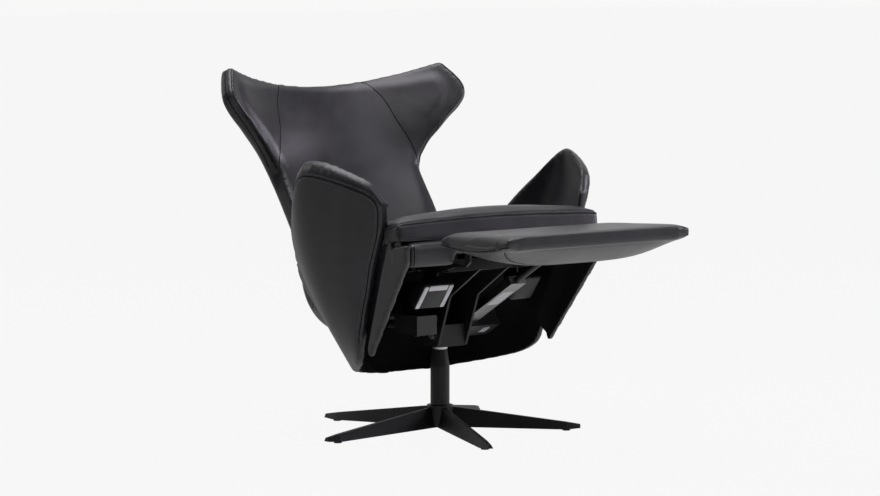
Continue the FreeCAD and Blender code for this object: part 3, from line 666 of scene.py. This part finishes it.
def edge_lines(bm):
    """The sharp edges of a welded solid, as lines of points between its corners."""
    left = {e for e in bm.edges if len(e.link_faces) == 2 and e.calc_face_angle(0) > SHARP_EDGE}
    at = {}
    for e in left:
        for v in e.verts:
            at.setdefault(v, []).append(e)

    def carries_on(v, e):
        if len(at[v]) != 2:
            return None
        other = at[v][0] if at[v][1] is e else at[v][1]
        here = v.co - e.other_vert(v).co
        there = other.other_vert(v).co - v.co
        return other if here.angle(there, 0) < CORNER_TURN else None

    lines = []
    while left:
        first = min(left, key=lambda e: e.index)
        left.discard(first)
        line = list(first.verts)
        for end in (1, 0):
            e, v = first, first.verts[end]
            while True:
                e = carries_on(v, e)
                if e is None or e not in left:
                    break
                left.discard(e)
                v = e.other_vert(v)
                line.insert(len(line) if end else 0, v)
        lines.append([v.co.copy() for v in line])
    return lines


def evenly(line, step):
    """Points along a line, a step apart."""
    out = [line[0].copy()]
    carry = 0.0
    for a, b in zip(line, line[1:]):
        run = (b - a).length
        if run == 0:
            continue
        spot = step - carry
        while spot <= run:
            out.append(a.lerp(b, spot / run))
            spot += step
        carry = run - (spot - step)
    return out


def flowing(line, rounds):
    """A line with its turns smoothed out, its ends kept."""
    line = evenly(line, LINE_STEP)
    for _ in range(rounds):
        between = [(a + b * 2 + c) / 4 for a, b, c in zip(line, line[1:], line[2:])]
        line = [line[0], *between, line[-1]]
    return line


def softened(name, bm, voxel, rounds):
    """A piece with an even mesh and rounded edges, from a welded solid."""
    piece = linked(name, mesh_of(bm, name))
    even = piece.modifiers.new("even", "REMESH")
    even.mode = "VOXEL"
    even.voxel_size = voxel
    rounding = piece.modifiers.new("rounding", "SMOOTH")
    rounding.factor = SMOOTHING
    rounding.iterations = rounds
    return settle(piece)


def filled(piece, cap, rearward=1.0):
    """Swells a padded piece with a cloth simulation, no point by more than the cap."""
    soft = settings().soft
    before = [(v.co.copy(), v.normal.copy()) for v in piece.data.vertices]
    cloth = piece.modifiers.new("filling", "CLOTH")
    cloth.settings.use_pressure = True
    cloth.settings.uniform_pressure_force = soft.pressure
    cloth.settings.quality = CLOTH_QUALITY
    cloth.settings.tension_stiffness = CLOTH_STIFFNESS
    cloth.settings.compression_stiffness = CLOTH_STIFFNESS
    cloth.settings.shear_stiffness = CLOTH_STIFFNESS
    cloth.settings.bending_stiffness = CLOTH_BENDING
    cloth.settings.effector_weights.gravity = 0
    cloth.collision_settings.use_collision = False
    scene = bpy.context.scene
    for step in range(1, soft.frames + 1):
        scene.frame_set(step)
    settle(piece)
    scene.frame_set(1)
    swells = []
    for vert, (start, normal) in zip(piece.data.vertices, before):
        swell = min(cap, max(0, (vert.co - start).dot(normal)))
        swells.append(swell * (rearward if normal.y > REAR_FACING else 1))
    swells = evened(piece.data, swells, SWELL_ROUNDS)
    for vert, (start, normal), swell in zip(piece.data.vertices, before, swells):
        vert.co = start + normal * swell
    return piece


def evened(mesh, values, rounds):
    """Evens out values on the vertices of a mesh, each with its neighbours."""
    ends = np.array([e.vertices[:] for e in mesh.edges])
    near, far = ends[:, 0], ends[:, 1]
    count = np.bincount(ends.ravel())
    values = np.array(values)
    for _ in range(rounds):
        total = np.bincount(near, values[far], len(count))
        total += np.bincount(far, values[near], len(count))
        values = (values + total / count) / 2
    return [float(v) for v in values]


def finer(piece):
    """Divides every face of a piece once, with smooth turns."""
    sub = piece.modifiers.new("finer", "SUBSURF")
    sub.levels = 1
    sub.render_levels = 1
    return settle(piece)


def near_tree(points):
    tree = KDTree(len(points))
    for i, spot in enumerate(points):
        tree.insert(spot, i)
    tree.balance()
    return tree


def rounded(piece, spots, reach, rounds):
    """Rounds a piece off near the given spots."""
    bm = bmesh.new()
    bm.from_mesh(piece.data)
    tree = near_tree(spots)
    near = [v for v in bm.verts if tree.find(v.co)[2] < reach]
    for _ in range(rounds):
        bmesh.ops.smooth_vert(
            bm, verts=near, factor=SMOOTHING, use_axis_x=True, use_axis_y=True, use_axis_z=True,
        )
    bm.to_mesh(piece.data)
    bm.free()
    return piece


def drawn_in(piece, lines, depth, width):
    """Pulls a piece in along its seams."""
    points = [p for line in lines for p in evenly(line, width / GROOVE_POINTS)]
    if not points:
        return piece
    tree = near_tree(points)
    moves = []
    for vert in piece.data.vertices:
        _, _, far = tree.find(vert.co)
        if far < width:
            moves.append((vert, vert.normal * (depth * (1 - (far / width) ** 2) ** 2)))
    for vert, move in moves:
        vert.co -= move
    return piece


def surface_of(piece):
    mesh = piece.data
    return BVHTree.FromPolygons([v.co for v in mesh.vertices], [p.vertices for p in mesh.polygons])


def laid_on(surface, line, step, lift=0.0):
    """A line's points dropped onto a surface, with the surface normals there."""
    spots = []
    for p in evenly(line, step):
        found, normal, _, _ = surface.find_nearest(p)
        spots.append((found + normal * lift, normal))
    return spots


def stitched(name, surface, lines, rows):
    """Stitches along lines on a surface, in rows at the given distances from each line."""
    sizes = settings().seams
    bm = bmesh.new()
    for line in lines:
        spots = laid_on(surface, line, sizes.pitch)
        for (a, n), (b, _) in zip(spots, spots[1:]):
            along = b - a
            if along.length < sizes.pitch / SHORT_STITCH:
                continue
            along.normalize()
            aside = n.cross(along).normalized()
            for row in rows:
                found, normal, _, _ = surface.find_nearest((a + b) / 2 + aside * row)
                up = (normal - along * normal.dot(along)).normalized()
                turn = Matrix((along, up.cross(along), up)).transposed().to_4x4()
                high = sizes.thread * THREAD_FLATNESS
                shape = Matrix.Diagonal((sizes.stitch / 2, sizes.thread, high, 1))
                spot = Matrix.Translation(found + up * (sizes.thread * THREAD_RISE))
                bmesh.ops.create_icosphere(bm, subdivisions=1, radius=1, matrix=spot @ turn @ shape)
    piece = smooth_shaded(linked(name, mesh_of(bm, name)))
    return painted(piece, "tonal_thread")


def piped(name, surface, lines, radius, lift, finish="charcoal_leather"):
    """A cord sewn in along lines on a surface."""
    curve = bpy.data.curves.new(name, "CURVE")
    curve.dimensions = "3D"
    curve.bevel_depth = radius
    curve.bevel_resolution = CORD_ROUNDNESS
    curve.use_fill_caps = True
    for line in lines:
        spots = laid_on(surface, line, radius * CORD_STEP, lift)
        spline = curve.splines.new("NURBS")
        spline.points.add(len(spots) - 1)
        for point, (spot, _) in zip(spline.points, spots):
            point.co = (*spot, 1)
        spline.order_u = CORD_ORDER
        spline.use_endpoint_u = True
        spline.resolution_u = CORD_RESOLUTION
    wire = linked(name + "_line", curve)
    graph = bpy.context.evaluated_depsgraph_get()
    mesh = bpy.data.meshes.new_from_object(wire.evaluated_get(graph))
    bpy.data.objects.remove(wire)
    return painted(smooth_shaded(linked(name, mesh)), finish)


def clamped(value):
    return min(1, max(0, value))


def middle(line):
    return sum(line, Vector()) / len(line)


def run_of(line):
    return sum((b - a).length for a, b in zip(line, line[1:]))


def leathered(piece, body, replaced):
    smooth_shaded(painted(piece, "charcoal_leather"))
    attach(piece, body)
    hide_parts(*replaced)
    return piece


def upholstered(name, body, cad, rounds, cap, corners=None):
    """A soft leather piece that stands for a CAD solid, rounder at its corners."""
    piece = softened(name, joined((cad,), 0), settings().soft.voxel, rounds)
    if corners:
        rounded(piece, *corners)
    finer(filled(piece, cap))
    return leathered(piece, body, (cad,))


def lined(piece):
    """Gives a piece a black cloth lining on its faces towards the bay under the seat."""
    mesh = piece.data
    mesh.materials.append(finishes()["black_lining"])
    for face in mesh.polygons:
        inwards = Vector((-face.center.x, AXIS.y - face.center.y, 0)).normalized()
        if face.center.z < LINING_TOP and face.normal.dot(inwards) > LINING_FACING:
            face.material_index = 1
    return piece


def seamed(name, body, piece, lines, rows=(), depth=1.0):
    """Draws a piece in along its seams, with a near-black cord of painted seam shadow and rows of stitches."""
    sizes = settings().seams
    drawn_in(piece, lines, sizes.groove * depth, sizes.groove_width)
    surface = surface_of(piece)
    sink = -sizes.shadow_cord * SHADOW_CORD_SINK
    # A near-black cord along each seam, painted shade for the shadow in the groove.
    trim(piped(f"{name}_welt", surface, lines, sizes.shadow_cord, sink, "seam_shadow_cord"), body)
    if rows:
        trim(stitched(f"{name}_stitching", surface, lines, rows), body)


def trim(piece, body):
    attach(piece, body)
    return piece


class RECLINER_OT_stage(bpy.types.Operator):
    """Floor, lamps, backdrop and the camera"""

    bl_idname = "recliner.stage"
    bl_label = "Studio"

    def execute(self, context):
        stage = settings().stage
        scene = context.scene
        scene.view_settings.view_transform = "Standard"
        self.camera(scene, stage)
        self.floor(stage)
        self.world(scene, stage)
        self.lamps()
        return {"FINISHED"}

    def camera(self, scene, stage):
        data = bpy.data.cameras.new("photo_camera")
        data.lens = stage.lens
        data.sensor_width = SENSOR_MM
        data.sensor_fit = "HORIZONTAL"
        data.clip_end = SIGHT
        camera = linked("photo_camera", data)
        turn = stage.azimuth
        camera.location = (
            AXIS.x + stage.distance * math.sin(turn),
            AXIS.y - stage.distance * math.cos(turn),
            stage.height,
        )
        ahead = Vector((-math.sin(turn), math.cos(turn), 0)) * math.cos(stage.pitch)
        ahead.z = -math.sin(stage.pitch)
        camera.rotation_euler = ahead.to_track_quat("-Z", "Y").to_euler()
        scene.camera = camera

    def floor(self, stage):
        bm = bmesh.new()
        bmesh.ops.create_grid(bm, x_segments=2, y_segments=2, size=FLOOR_HALF)
        floor = linked("floor", mesh_of(bm, "floor"))
        material, tree, shader = start_material("pale_floor")
        shader.inputs["Base Color"].default_value = stage.backdrop
        shader.inputs["Roughness"].default_value = FLOOR_ROUGHNESS
        shader.inputs["Specular IOR Level"].default_value = FLOOR_SHINE
        rays = node(tree, "ShaderNodeLightPath").outputs
        bright = share_along(
            tree, object_coordinates(tree), PICTURE_RIGHT, FLOOR_SPAN,
            (FLOOR_DIM * stage.floor_reflected, stage.floor_reflected),
        )
        strength = maths(tree, "MAXIMUM", rays["Is Camera Ray"], bright)
        plain = node(tree, "ShaderNodeEmission", {"Color": stage.backdrop, "Strength": strength})
        seen = maths(tree, "MAXIMUM", rays["Is Camera Ray"], rays["Is Glossy Ray"])
        share = maths(tree, "MULTIPLY", seen, FLOOR_PLAIN)
        shaders = {0: share, 1: shader.outputs[0], 2: plain.outputs[0]}
        both = node(tree, "ShaderNodeMixShader", shaders)
        tree.links.new(both.outputs[0], tree.nodes["Material Output"].inputs["Surface"])
        floor.data.materials.append(material)

    def world(self, scene, stage):
        world = bpy.data.worlds.new("studio")
        world.use_nodes = True
        tree = world.node_tree
        tree.nodes.clear()
        rays = node(tree, "ShaderNodeLightPath").outputs
        place = node(tree, "ShaderNodeTexCoord").outputs["Generated"]
        wall = share_along(tree, place, WALL_DIRECTION, WALL_SPAN, (0, stage.reflected))
        mirrored = maths(tree, "MULTIPLY", rays["Is Glossy Ray"], wall)
        seen = maths(tree, "MAXIMUM", rays["Is Camera Ray"], mirrored)
        share = maths(tree, "MAXIMUM", seen, rays["Is Transmission Ray"])
        low_light = {"Color": FILL_COLOUR, "Strength": FILL_STRENGTH}
        fill = node(tree, "ShaderNodeBackground", low_light)
        plain = node(tree, "ShaderNodeBackground", {"Color": stage.backdrop, "Strength": 1})
        shaders = {0: share, 1: fill.outputs[0], 2: plain.outputs[0]}
        both = node(tree, "ShaderNodeMixShader", shaders)
        out = node(tree, "ShaderNodeOutputWorld", {"Surface": both.outputs[0]})
        out.is_active_output = True
        scene.world = world

    def lamps(self):
        for row in LAMPS:
            data = bpy.data.lights.new(row["name"], "AREA")
            data.shape = "DISK"
            data.size = row["size"]
            data.energy = row["power"]
            data.color = row["colour"]
            lamp = linked(row["name"], data)
            lamp.location = row["place"]
            ahead = Vector(row["target"]) - Vector(row["place"])
            lamp.rotation_euler = ahead.to_track_quat("-Z", "Y").to_euler()


class RECLINER_OT_tub(bpy.types.Operator):
    """Arms, side walls and the rear of the tub"""

    bl_idname = "recliner.tub"
    bl_label = "Tub"

    def execute(self, context):
        soft = settings().soft
        offset = settings().seams.offset
        shells = ("arm_shell_left", "arm_shell_right", "rear_shell")
        cover = softened("tub_cover", joined(shells, TUB_SWELL), soft.tub_voxel, TUB_ROUNDS)
        seams = {}
        for side, sign in SIDES:
            top, front = self.edges(cover, side, sign)
            strip = self.domed(cover, top, sign)
            self.cornered(cover, top, front[-1])
            rounded(cover, top, *ARM_TOP_ROUNDING)
            rounded(cover, [top[-1]], *ARM_END_ROUNDING)
            seams[side] = flowing(strip[:-ARM_SEAM_CUT] + front, ARM_SEAM_ROUNDS)
        finer(cover)
        self.cleared(cover)
        leathered(cover, "seat", shells)
        lined(cover)
        for side, _ in SIDES:
            rows = (-offset, offset)
            seamed(f"arm_seam_{side}", "seat", cover, [seams[side]], rows, ARM_SEAM_DEPTH)
            wall = f"side_wall_{side}"
            solid = joined((wall,), 0)
            panel = softened(f"side_panel_{side}", solid, soft.thin_voxel, PANEL_ROUNDS)
            self.raised(panel, wall)
            lined(leathered(finer(panel), "seat", (wall,)))
        return {"FINISHED"}

    def cleared(self, cover):
        """Keeps the inside of the tub clear of the swing of the back's drive lever."""
        pivot = joint_place("recline")
        low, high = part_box("back_drive_lever")
        lever = [v.co - pivot for v in frame["nodes"]["back_drive_lever"].data.vertices]
        reach = max(math.hypot(spot.y, spot.z) for spot in lever) + settings().soft.clearance
        outer = reach + LEVER_DEPTH
        near = []
        for vert in cover.data.vertices:
            away = Vector((0, vert.co.y - pivot.y, vert.co.z - pivot.z))
            beyond = max(low.x - LEVER_SIDE - vert.co.x, vert.co.x - high.x - LEVER_SIDE, 0)
            aside = beyond / LEVER_FADE
            if aside < 1 and away.z < 0 and LEVER_INNER * reach < away.length < outer:
                near.append((vert, away, (1 - aside) ** 2 * (1 + 2 * aside)))
        least = min((away.length for _, away, _ in near), default=reach)
        if least < reach:
            for vert, away, share in near:
                part = (outer - away.length) / (outer - least)
                vert.co += away.normalized() * (reach - least) * part * share

    def raised(self, panel, wall):
        """Brings a side panel up under the cushion, and out in front of the arm."""
        soft = settings().soft
        low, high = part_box(wall)
        start = low.y + PANEL_START
        for vert in panel.data.vertices:
            behind = vert.co.y - start
            level = high.z - PANEL_DROP - PANEL_SLOPE * behind
            share = clamped(1 + (vert.co.z - level) / PANEL_BLEND)
            vert.co.z += PANEL_LIFT * share * clamped(behind / PANEL_RAMP)
            ahead = (high.z - vert.co.z) * soft.arm_rake - PANEL_FRONT - vert.co.y
            vert.co.x += math.copysign(soft.panel_flare * clamped(ahead / FLARE_RAMP), low.x)

    def cornered(self, cover, top, foot):
        """Blunts the upper front corner of an arm in its own plane."""
        reach = settings().soft.arm_corner
        corner = top[-1].copy()
        back = (top[-CORNER_POINTS] - corner).normalized()
        down = (foot - corner).normalized()
        inwards = (back + down).normalized()
        across = back.cross(down).normalized()
        for vert in cover.data.vertices:
            offset = vert.co - corner
            offset -= across * offset.dot(across)
            if offset.length < reach and (vert.co - corner).length < CORNER_WIDTH * reach:
                vert.co += inwards * (CORNER_DEPTH * reach * (1 - offset.length / reach) ** 2)

    def edges(self, cover, side, sign):
        """The outer top edge of an arm, rear to front, and a line behind its front edge."""
        lines = [l for l in edge_lines(merged(f"arm_shell_{side}")) if run_of(l) > ARM_EDGE_RUN]
        top = max(lines, key=lambda l: middle(l).z + sign * middle(l).x / 2)
        top = evenly(top if top[0].y > top[-1].y else top[::-1], LINE_STEP)
        low, high = ARM_FRONT_LEVELS
        aside, ahead = ARM_FRONT_OUT
        slices = {}
        for vert in cover.data.vertices:
            if vert.co.x * sign > 0 and low < vert.co.z < high and vert.co.y < ARM_FRONT_REAR:
                slices.setdefault(round(vert.co.z / SLICE), []).append(vert.co)
        front = []
        for key in sorted(slices, reverse=True):
            edge = max(slices[key], key=lambda spot: aside * sign * spot.x - ahead * spot.y)
            front.append(edge + Vector((0, settings().soft.edge_strip, 0)))
        return top, front

    def domed(self, cover, top, sign):
        """Rounds an arm over towards its top edge, and gives the seam where the rounding starts."""
        soft = settings().soft
        last = len(top) - 1
        drops = []
        outwards = []
        for i in range(last + 1):
            drops.append(soft.strip * math.sin(math.pi * i / last) ** DOME_POWER + LEAST_DROP)
            along = top[min(last, i + 1)] - top[max(0, i - 1)]
            aside = Vector((along.y, -along.x, 0)).normalized()
            outwards.append(aside if aside.x * sign > 0 else -aside)
        tree = near_tree(top)
        for vert in cover.data.vertices:
            spot, i, far = tree.find(vert.co)
            if far > DOME_REACH or vert.co.x * sign < 0:
                continue
            drop = spot.z - vert.co.z
            aside = (spot - vert.co).dot(outwards[i])
            share = clamped(1 - drop / drops[i])
            inner = clamped(1 - aside / soft.arm_top)
            turn = 1 - math.sqrt(1 - share * share)
            vert.co -= outwards[i] * (DOME_INSET * drops[i] * turn * inner)
            vert.co.z += soft.arm_lift * share
        return [spot - Vector((0, 0, drop)) for spot, drop in zip(top, drops)]


class RECLINER_OT_seat(bpy.types.Operator):
    """Seat cushion and the roll under its front edge"""

    bl_idname = "recliner.seat"
    bl_label = "Seat"

    def spread(self, spot):
        """Widens the front of the seat in front of the arms, and draws it back a little."""
        soft = settings().soft
        ahead = soft.seat_flare - spot.y
        outer = max(0, abs(spot.x) - SEAT_MIDDLE)
        spot.x += math.copysign(outer * clamped(ahead / SEAT_WIDEN_RAMP) * soft.seat_widen, spot.x)
        spot.y += soft.seat_back * clamped(ahead / SEAT_BACK_RAMP)

    def execute(self, context):
        seams = settings().seams
        lines = edge_lines(merged("seat_cushion"))
        cushion = upholstered("seat_cushion_cover", "seat", "seat_cushion", SEAT_ROUNDS, SEAT_CAP)
        for vert in cushion.data.vertices:
            self.spread(vert.co)
        top = [l for l in lines if middle(l).z > SEAT_EDGE_LEVEL and run_of(l) > SEAT_EDGE_RUN]
        for line in top:
            for spot in line:
                self.spread(spot)
                spot.z -= PIPING_DROP
        drawn_in(cushion, top, seams.groove, seams.groove_width)
        trim(piped("seat_piping", surface_of(cushion), top, seams.piping, PIPING_LIFT), "seat")
        roll = upholstered("front_roll_cover", "seat", "front_roll", ROLL_ROUNDS, ROLL_CAP)
        for vert in roll.data.vertices:
            self.spread(vert.co)
        low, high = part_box("front_roll")
        high.y = low.y
        for corner in (low, high):
            self.spread(corner)
        levels = [low.z + (high.z - low.z) * i / ROLL_POINTS for i in range(ROLL_POINTS + 1)]
        ends = []
        for x in (low.x + ROLL_INSET, high.x - ROLL_INSET):
            ends.append([Vector((x, low.y, level)) for level in levels])
        aside = seams.offset * ROLL_STITCH
        seamed("roll_end", "seat", roll, ends, (-aside, aside), ROLL_SEAM_DEPTH)
        return {"FINISHED"}


class RECLINER_OT_back(bpy.types.Operator):
    """Back cushion with its wings, and the cover behind them"""

    bl_idname = "recliner.back"
    bl_label = "Back"

    def execute(self, context):
        soft = settings().soft
        solids = ("back_pad", "back_wing_left", "back_wing_right", "back_shell")
        edges = self.edges()
        cushion = softened("back_cushion", joined(solids, BACK_SWELL), soft.voxel, BACK_ROUNDS)
        filled(cushion, BACK_CAP, rearward=BACK_REARWARD)
        leathered(finer(cushion), "back", solids)
        for side, sign in SIDES:
            seam = self.seam(side, sign)
            seamed(f"wing_seam_{side}", "back", cushion, [seam], depth=WING_SEAM_DEPTH)
        seamed("back_edge", "back", cushion, edges, depth=BACK_EDGE_DEPTH)
        return {"FINISHED"}

    def edges(self):
        """The outer front edges of the pad and the wings, and the top of the cover."""
        lines = []
        for name in ("back_pad", "back_wing_left", "back_wing_right"):
            low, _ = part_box(name)
            for line in edge_lines(merged(name)):
                spot = middle(line)
                outer = abs(spot.x) > WING_OUTER
                if name == "back_pad":
                    outer = abs(spot.x) > PAD_OUTER and spot.z < PAD_EDGE_TOP
                if outer and spot.y > low.y and run_of(line) > BACK_EDGE_RUN:
                    lines.append(line)
        return lines

    def seam(self, side, sign):
        """The front edge of a wing, where it meets the pad."""
        lines = [l for l in edge_lines(merged(f"back_wing_{side}")) if run_of(l) > WING_SEAM_RUN]
        inner = sorted(lines, key=lambda l: sign * middle(l).x)[:2]
        return min(inner, key=lambda l: middle(l).y)


class RECLINER_OT_footrest(bpy.types.Operator):
    """Footrest cushion and the hull under it"""

    bl_idname = "recliner.footrest"
    bl_label = "Footrest"

    def execute(self, context):
        soft = settings().soft
        corners = [self.spot(across, along, 0) for across in (-1, 1) for along in (0, 1)]
        upholstered(
            "footrest_cushion", "footrest", "footrest_pad", FOOT_ROUNDS, FOOT_CAP,
            corners=(corners, *FOOT_ROUNDING),
        )
        hull = softened("footrest_hull", self.hull(), soft.voxel, HULL_ROUNDS)
        rounded(hull, corners, *HULL_ROUNDING)
        leathered(finer(hull), "footrest", ("footrest_cover", "footrest_board"))
        lines = [[self.spot(across, 1, HULL_TOP) for across in (-1, -0.5, 0, 0.5, 1)]]
        lens = []
        for i in range(LENS_POINTS + 1):
            across = 2 * i / LENS_POINTS - 1
            along = 1 - (1 - soft.keel) * (1 - across ** LENS_POWER)
            lens.append(self.spot(across, along, self.low(across, along)))
        lines.append(lens)
        for sign in (-1, 1):
            side = []
            for i in range(SIDE_POINTS + 1):
                sag = SIDE_SAG * (1 - (2 * i / SIDE_POINTS - 1) ** 2)
                side.append(self.spot(sign, i / SIDE_POINTS, HULL_TOP - sag))
            lines.append(side)
        seamed("footrest_rim", "footrest", hull, lines, depth=HULL_SEAM_DEPTH)
        return {"FINISHED"}

    def low(self, across, along):
        """Lowest level of the hull, below the middle of the cushion."""
        soft = settings().soft
        if along < soft.keel:
            swell = 1 - (1 - along / soft.keel) ** KEEL_RISE
        else:
            swell = (max(0, 1 - along) / (1 - soft.keel)) ** KEEL_FALL
        return HULL_LEVEL - (soft.hull_rim + soft.hull * (1 - across ** HULL_ACROSS)) * swell

    def spot(self, across, along, level):
        """A point of the footrest from its shares across and along, and its level."""
        soft = settings().soft
        low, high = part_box("footrest_pad")
        half = soft.foot_knee + (soft.foot_end - soft.foot_knee) * along
        rise = soft.foot_rise
        knee = Vector((0, high.y, low.z))
        run = soft.foot_length * along
        return Vector((
            half * across,
            knee.y - run * math.cos(rise) + level * math.sin(rise),
            knee.z + soft.foot_middle + run * math.sin(rise) + level * math.cos(rise),
        ))

    def hull(self):
        """The closed shape between the underside of the cushion and the hull's lowest level."""
        bm = bmesh.new()
        bmesh.ops.create_grid(bm, x_segments=HULL_GRID[0], y_segments=HULL_GRID[1], size=1)
        made = bmesh.ops.extrude_face_region(bm, geom=bm.faces[:], use_keep_orig=True)
        lower = {g for g in made["geom"] if isinstance(g, bmesh.types.BMVert)}
        for v in bm.verts:
            place = (v.co.x, (v.co.y + 1) / 2)
            v.co = self.spot(*place, self.low(*place) if v in lower else HULL_TOP)
        bmesh.ops.recalc_face_normals(bm, faces=bm.faces)
        return bm


class RECLINER_OT_frame(bpy.types.Operator):
    """Finishes of the base, the frame and the drives"""

    bl_idname = "recliner.frame"
    bl_label = "Frame"

    def execute(self, context):
        by_slot = {
            "black_metal": "black_paint",
            "bright_steel": "bright_steel",
            "grey_metal": "satin_aluminium",
            "plastic": "black_plastic",
            "rubber": "foot_rubber",
            "board": "black_board",
        }
        for row in frame["record"]["subparts"]:
            finish = by_slot.get(row["material_slot"])
            if finish:
                painted(frame["nodes"][row["node"]], finish)
        # Painted shade: the drive rod, steel in the CAD, gets the black plastic finish to match its dark look in
        # the shade of the bay.
        painted(frame["nodes"]["footrest_drive_rod"], "black_plastic")
        for name in ("back_motor", "footrest_motor"):
            painted(frame["nodes"][name], "grey_plastic")
        return {"FINISHED"}


def facing(name, towards):
    """The flat side of a CAD node that faces a direction: its middle, three axes and half sizes."""
    bm = merged(name)
    sides = {}
    for face in bm.faces:
        key = tuple(round(c, NORMAL_DIGITS) for c in face.normal)
        sides.setdefault(key, []).append(face)

    def area_towards(side):
        return sum(f.calc_area() for f in side) * max(0, side[0].normal.dot(towards))

    side = max(sides.values(), key=area_towards)
    normal = side[0].normal.copy()
    spots = [v.co.copy() for face in side for v in face.verts]
    around = [e for face in side for e in face.edges if len(e.link_faces) == 2]
    outline = [e for e in around if e.calc_face_angle(0) > OUTLINE_FOLD]
    along = max(outline, key=lambda e: e.calc_length())
    first = (along.verts[1].co - along.verts[0].co).normalized()
    second = normal.cross(first)
    bm.free()
    reach = [[spot.dot(axis) for spot in spots] for axis in (first, second)]
    centre = normal * spots[0].dot(normal)
    halves = []
    for axis, values in zip((first, second), reach):
        centre += axis * (min(values) + max(values)) / 2
        halves.append((max(values) - min(values)) / 2)
    return centre, first, second, normal, halves


def label(name, body, side, place, size):
    """A blank stuck-on label, placed and sized by shares of a flat side."""
    centre, first, second, normal, halves = side
    spot = centre + first * (place[0] * halves[0]) + second * (place[1] * halves[1])
    spot += normal * (LABEL_THICK / 2)
    turn = Matrix((first, second, normal)).transposed().to_4x4()
    scale = Matrix.Diagonal((size[0] * halves[0] * 2, size[1] * halves[1] * 2, LABEL_THICK, 1))
    bm = bmesh.new()
    bmesh.ops.create_cube(bm, size=1, matrix=Matrix.Translation(spot) @ turn @ scale)
    upright = []
    for e in bm.edges:
        along = (e.verts[0].co - e.verts[1].co).normalized()
        if abs(along.dot(normal)) > LABEL_UPRIGHT:
            upright.append(e)
    bmesh.ops.bevel(
        bm, geom=upright, offset=LABEL_CORNER, offset_type="OFFSET", segments=LABEL_SEGMENTS,
        profile=ROUND_PROFILE, affect="EDGES", material=-1,
    )
    piece = linked(name, mesh_of(bm, name))
    return trim(painted(piece, "blank_label"), body)


def eased(name, cad, body, radius):
    """A moulded housing with rounded edges, in place of a plain CAD block."""
    bm = merged(cad)
    bmesh.ops.dissolve_limit(bm, angle_limit=CASE_FLAT, verts=bm.verts, edges=bm.edges)
    long_edges = [e for e in bm.edges if e.calc_length() > CASE_EDGE]
    sharp = [e for e in long_edges if e.calc_face_angle(0) > CASE_FOLD]
    bmesh.ops.bevel(
        bm, geom=sharp, offset=radius, offset_type="OFFSET", segments=CASE_SEGMENTS,
        profile=ROUND_PROFILE, affect="EDGES", material=-1, clamp_overlap=True,
    )
    piece = linked(name, mesh_of(bm, name))
    smooth_shaded(painted(piece, "black_plastic"))
    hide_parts(cad)
    return trim(piece, body)


class RECLINER_OT_bay(bpy.types.Operator):
    """Housings and blank labels in the bay under the seat"""

    bl_idname = "recliner.bay"
    bl_label = "Bay"

    def execute(self, context):
        battery = facing("battery_pack", BAY_VIEW)
        eased("battery_case", "battery_pack", "seat", BATTERY_ROUNDING)
        label("battery_label_near", "seat", battery, place=(-0.82, 0), size=(0.13, 0.9))
        label("battery_label_far", "seat", battery, place=(0.82, 0), size=(0.13, 0.9))
        label("battery_label_top", "seat", battery, place=(0, 0.75), size=(0.6, 0.2))
        eased("control_case", "control_box", "seat", CONTROL_ROUNDING)
        motor = facing("footrest_motor", BAY_VIEW)
        label("motor_label", "footrest_drive", motor, place=(0.5, 0.1), size=(0.16, 0.45))
        rail = facing("footrest_guide_rail", BAY_VIEW)
        label("rail_label", "footrest_drive", rail, place=(-0.25, 0), size=(0.33, 0.72))
        drive = facing("back_motor", BAY_VIEW)
        label("drive_label", "seat", drive, place=(0, 0.3), size=(0.7, 0.25))
        return {"FINISHED"}


class RECLINER_PT_panel(bpy.types.Panel):
    """Lists the steps that make the recliner"""

    bl_idname = "RECLINER_PT_panel"
    bl_label = "Recliner"
    bl_space_type = "VIEW_3D"
    bl_region_type = "UI"
    bl_category = "Recliner"

    def draw(self, context):
        for operator in STEPS:
            self.layout.operator(operator.bl_idname)


STEPS = (
    RECLINER_OT_stage,
    RECLINER_OT_frame,
    RECLINER_OT_bay,
    RECLINER_OT_tub,
    RECLINER_OT_seat,
    RECLINER_OT_back,
    RECLINER_OT_footrest,
)
GROUPS = (LeatherLook, SeamSizes, SoftSizes, StageSettings, ReclinerSettings)


def register():
    for cls in (*GROUPS, *STEPS, RECLINER_PT_panel):
        bpy.utils.register_class(cls)
    bpy.types.Scene.recliner = PointerProperty(type=ReclinerSettings)


def unregister():
    del bpy.types.Scene.recliner
    for cls in reversed((*GROUPS, *STEPS, RECLINER_PT_panel)):
        bpy.utils.unregister_class(cls)


def main():
    register()
    for operator in STEPS:
        group, name = operator.bl_idname.split(".")
        getattr(getattr(bpy.ops, group), name)()


if __name__ == "__main__":
    main()
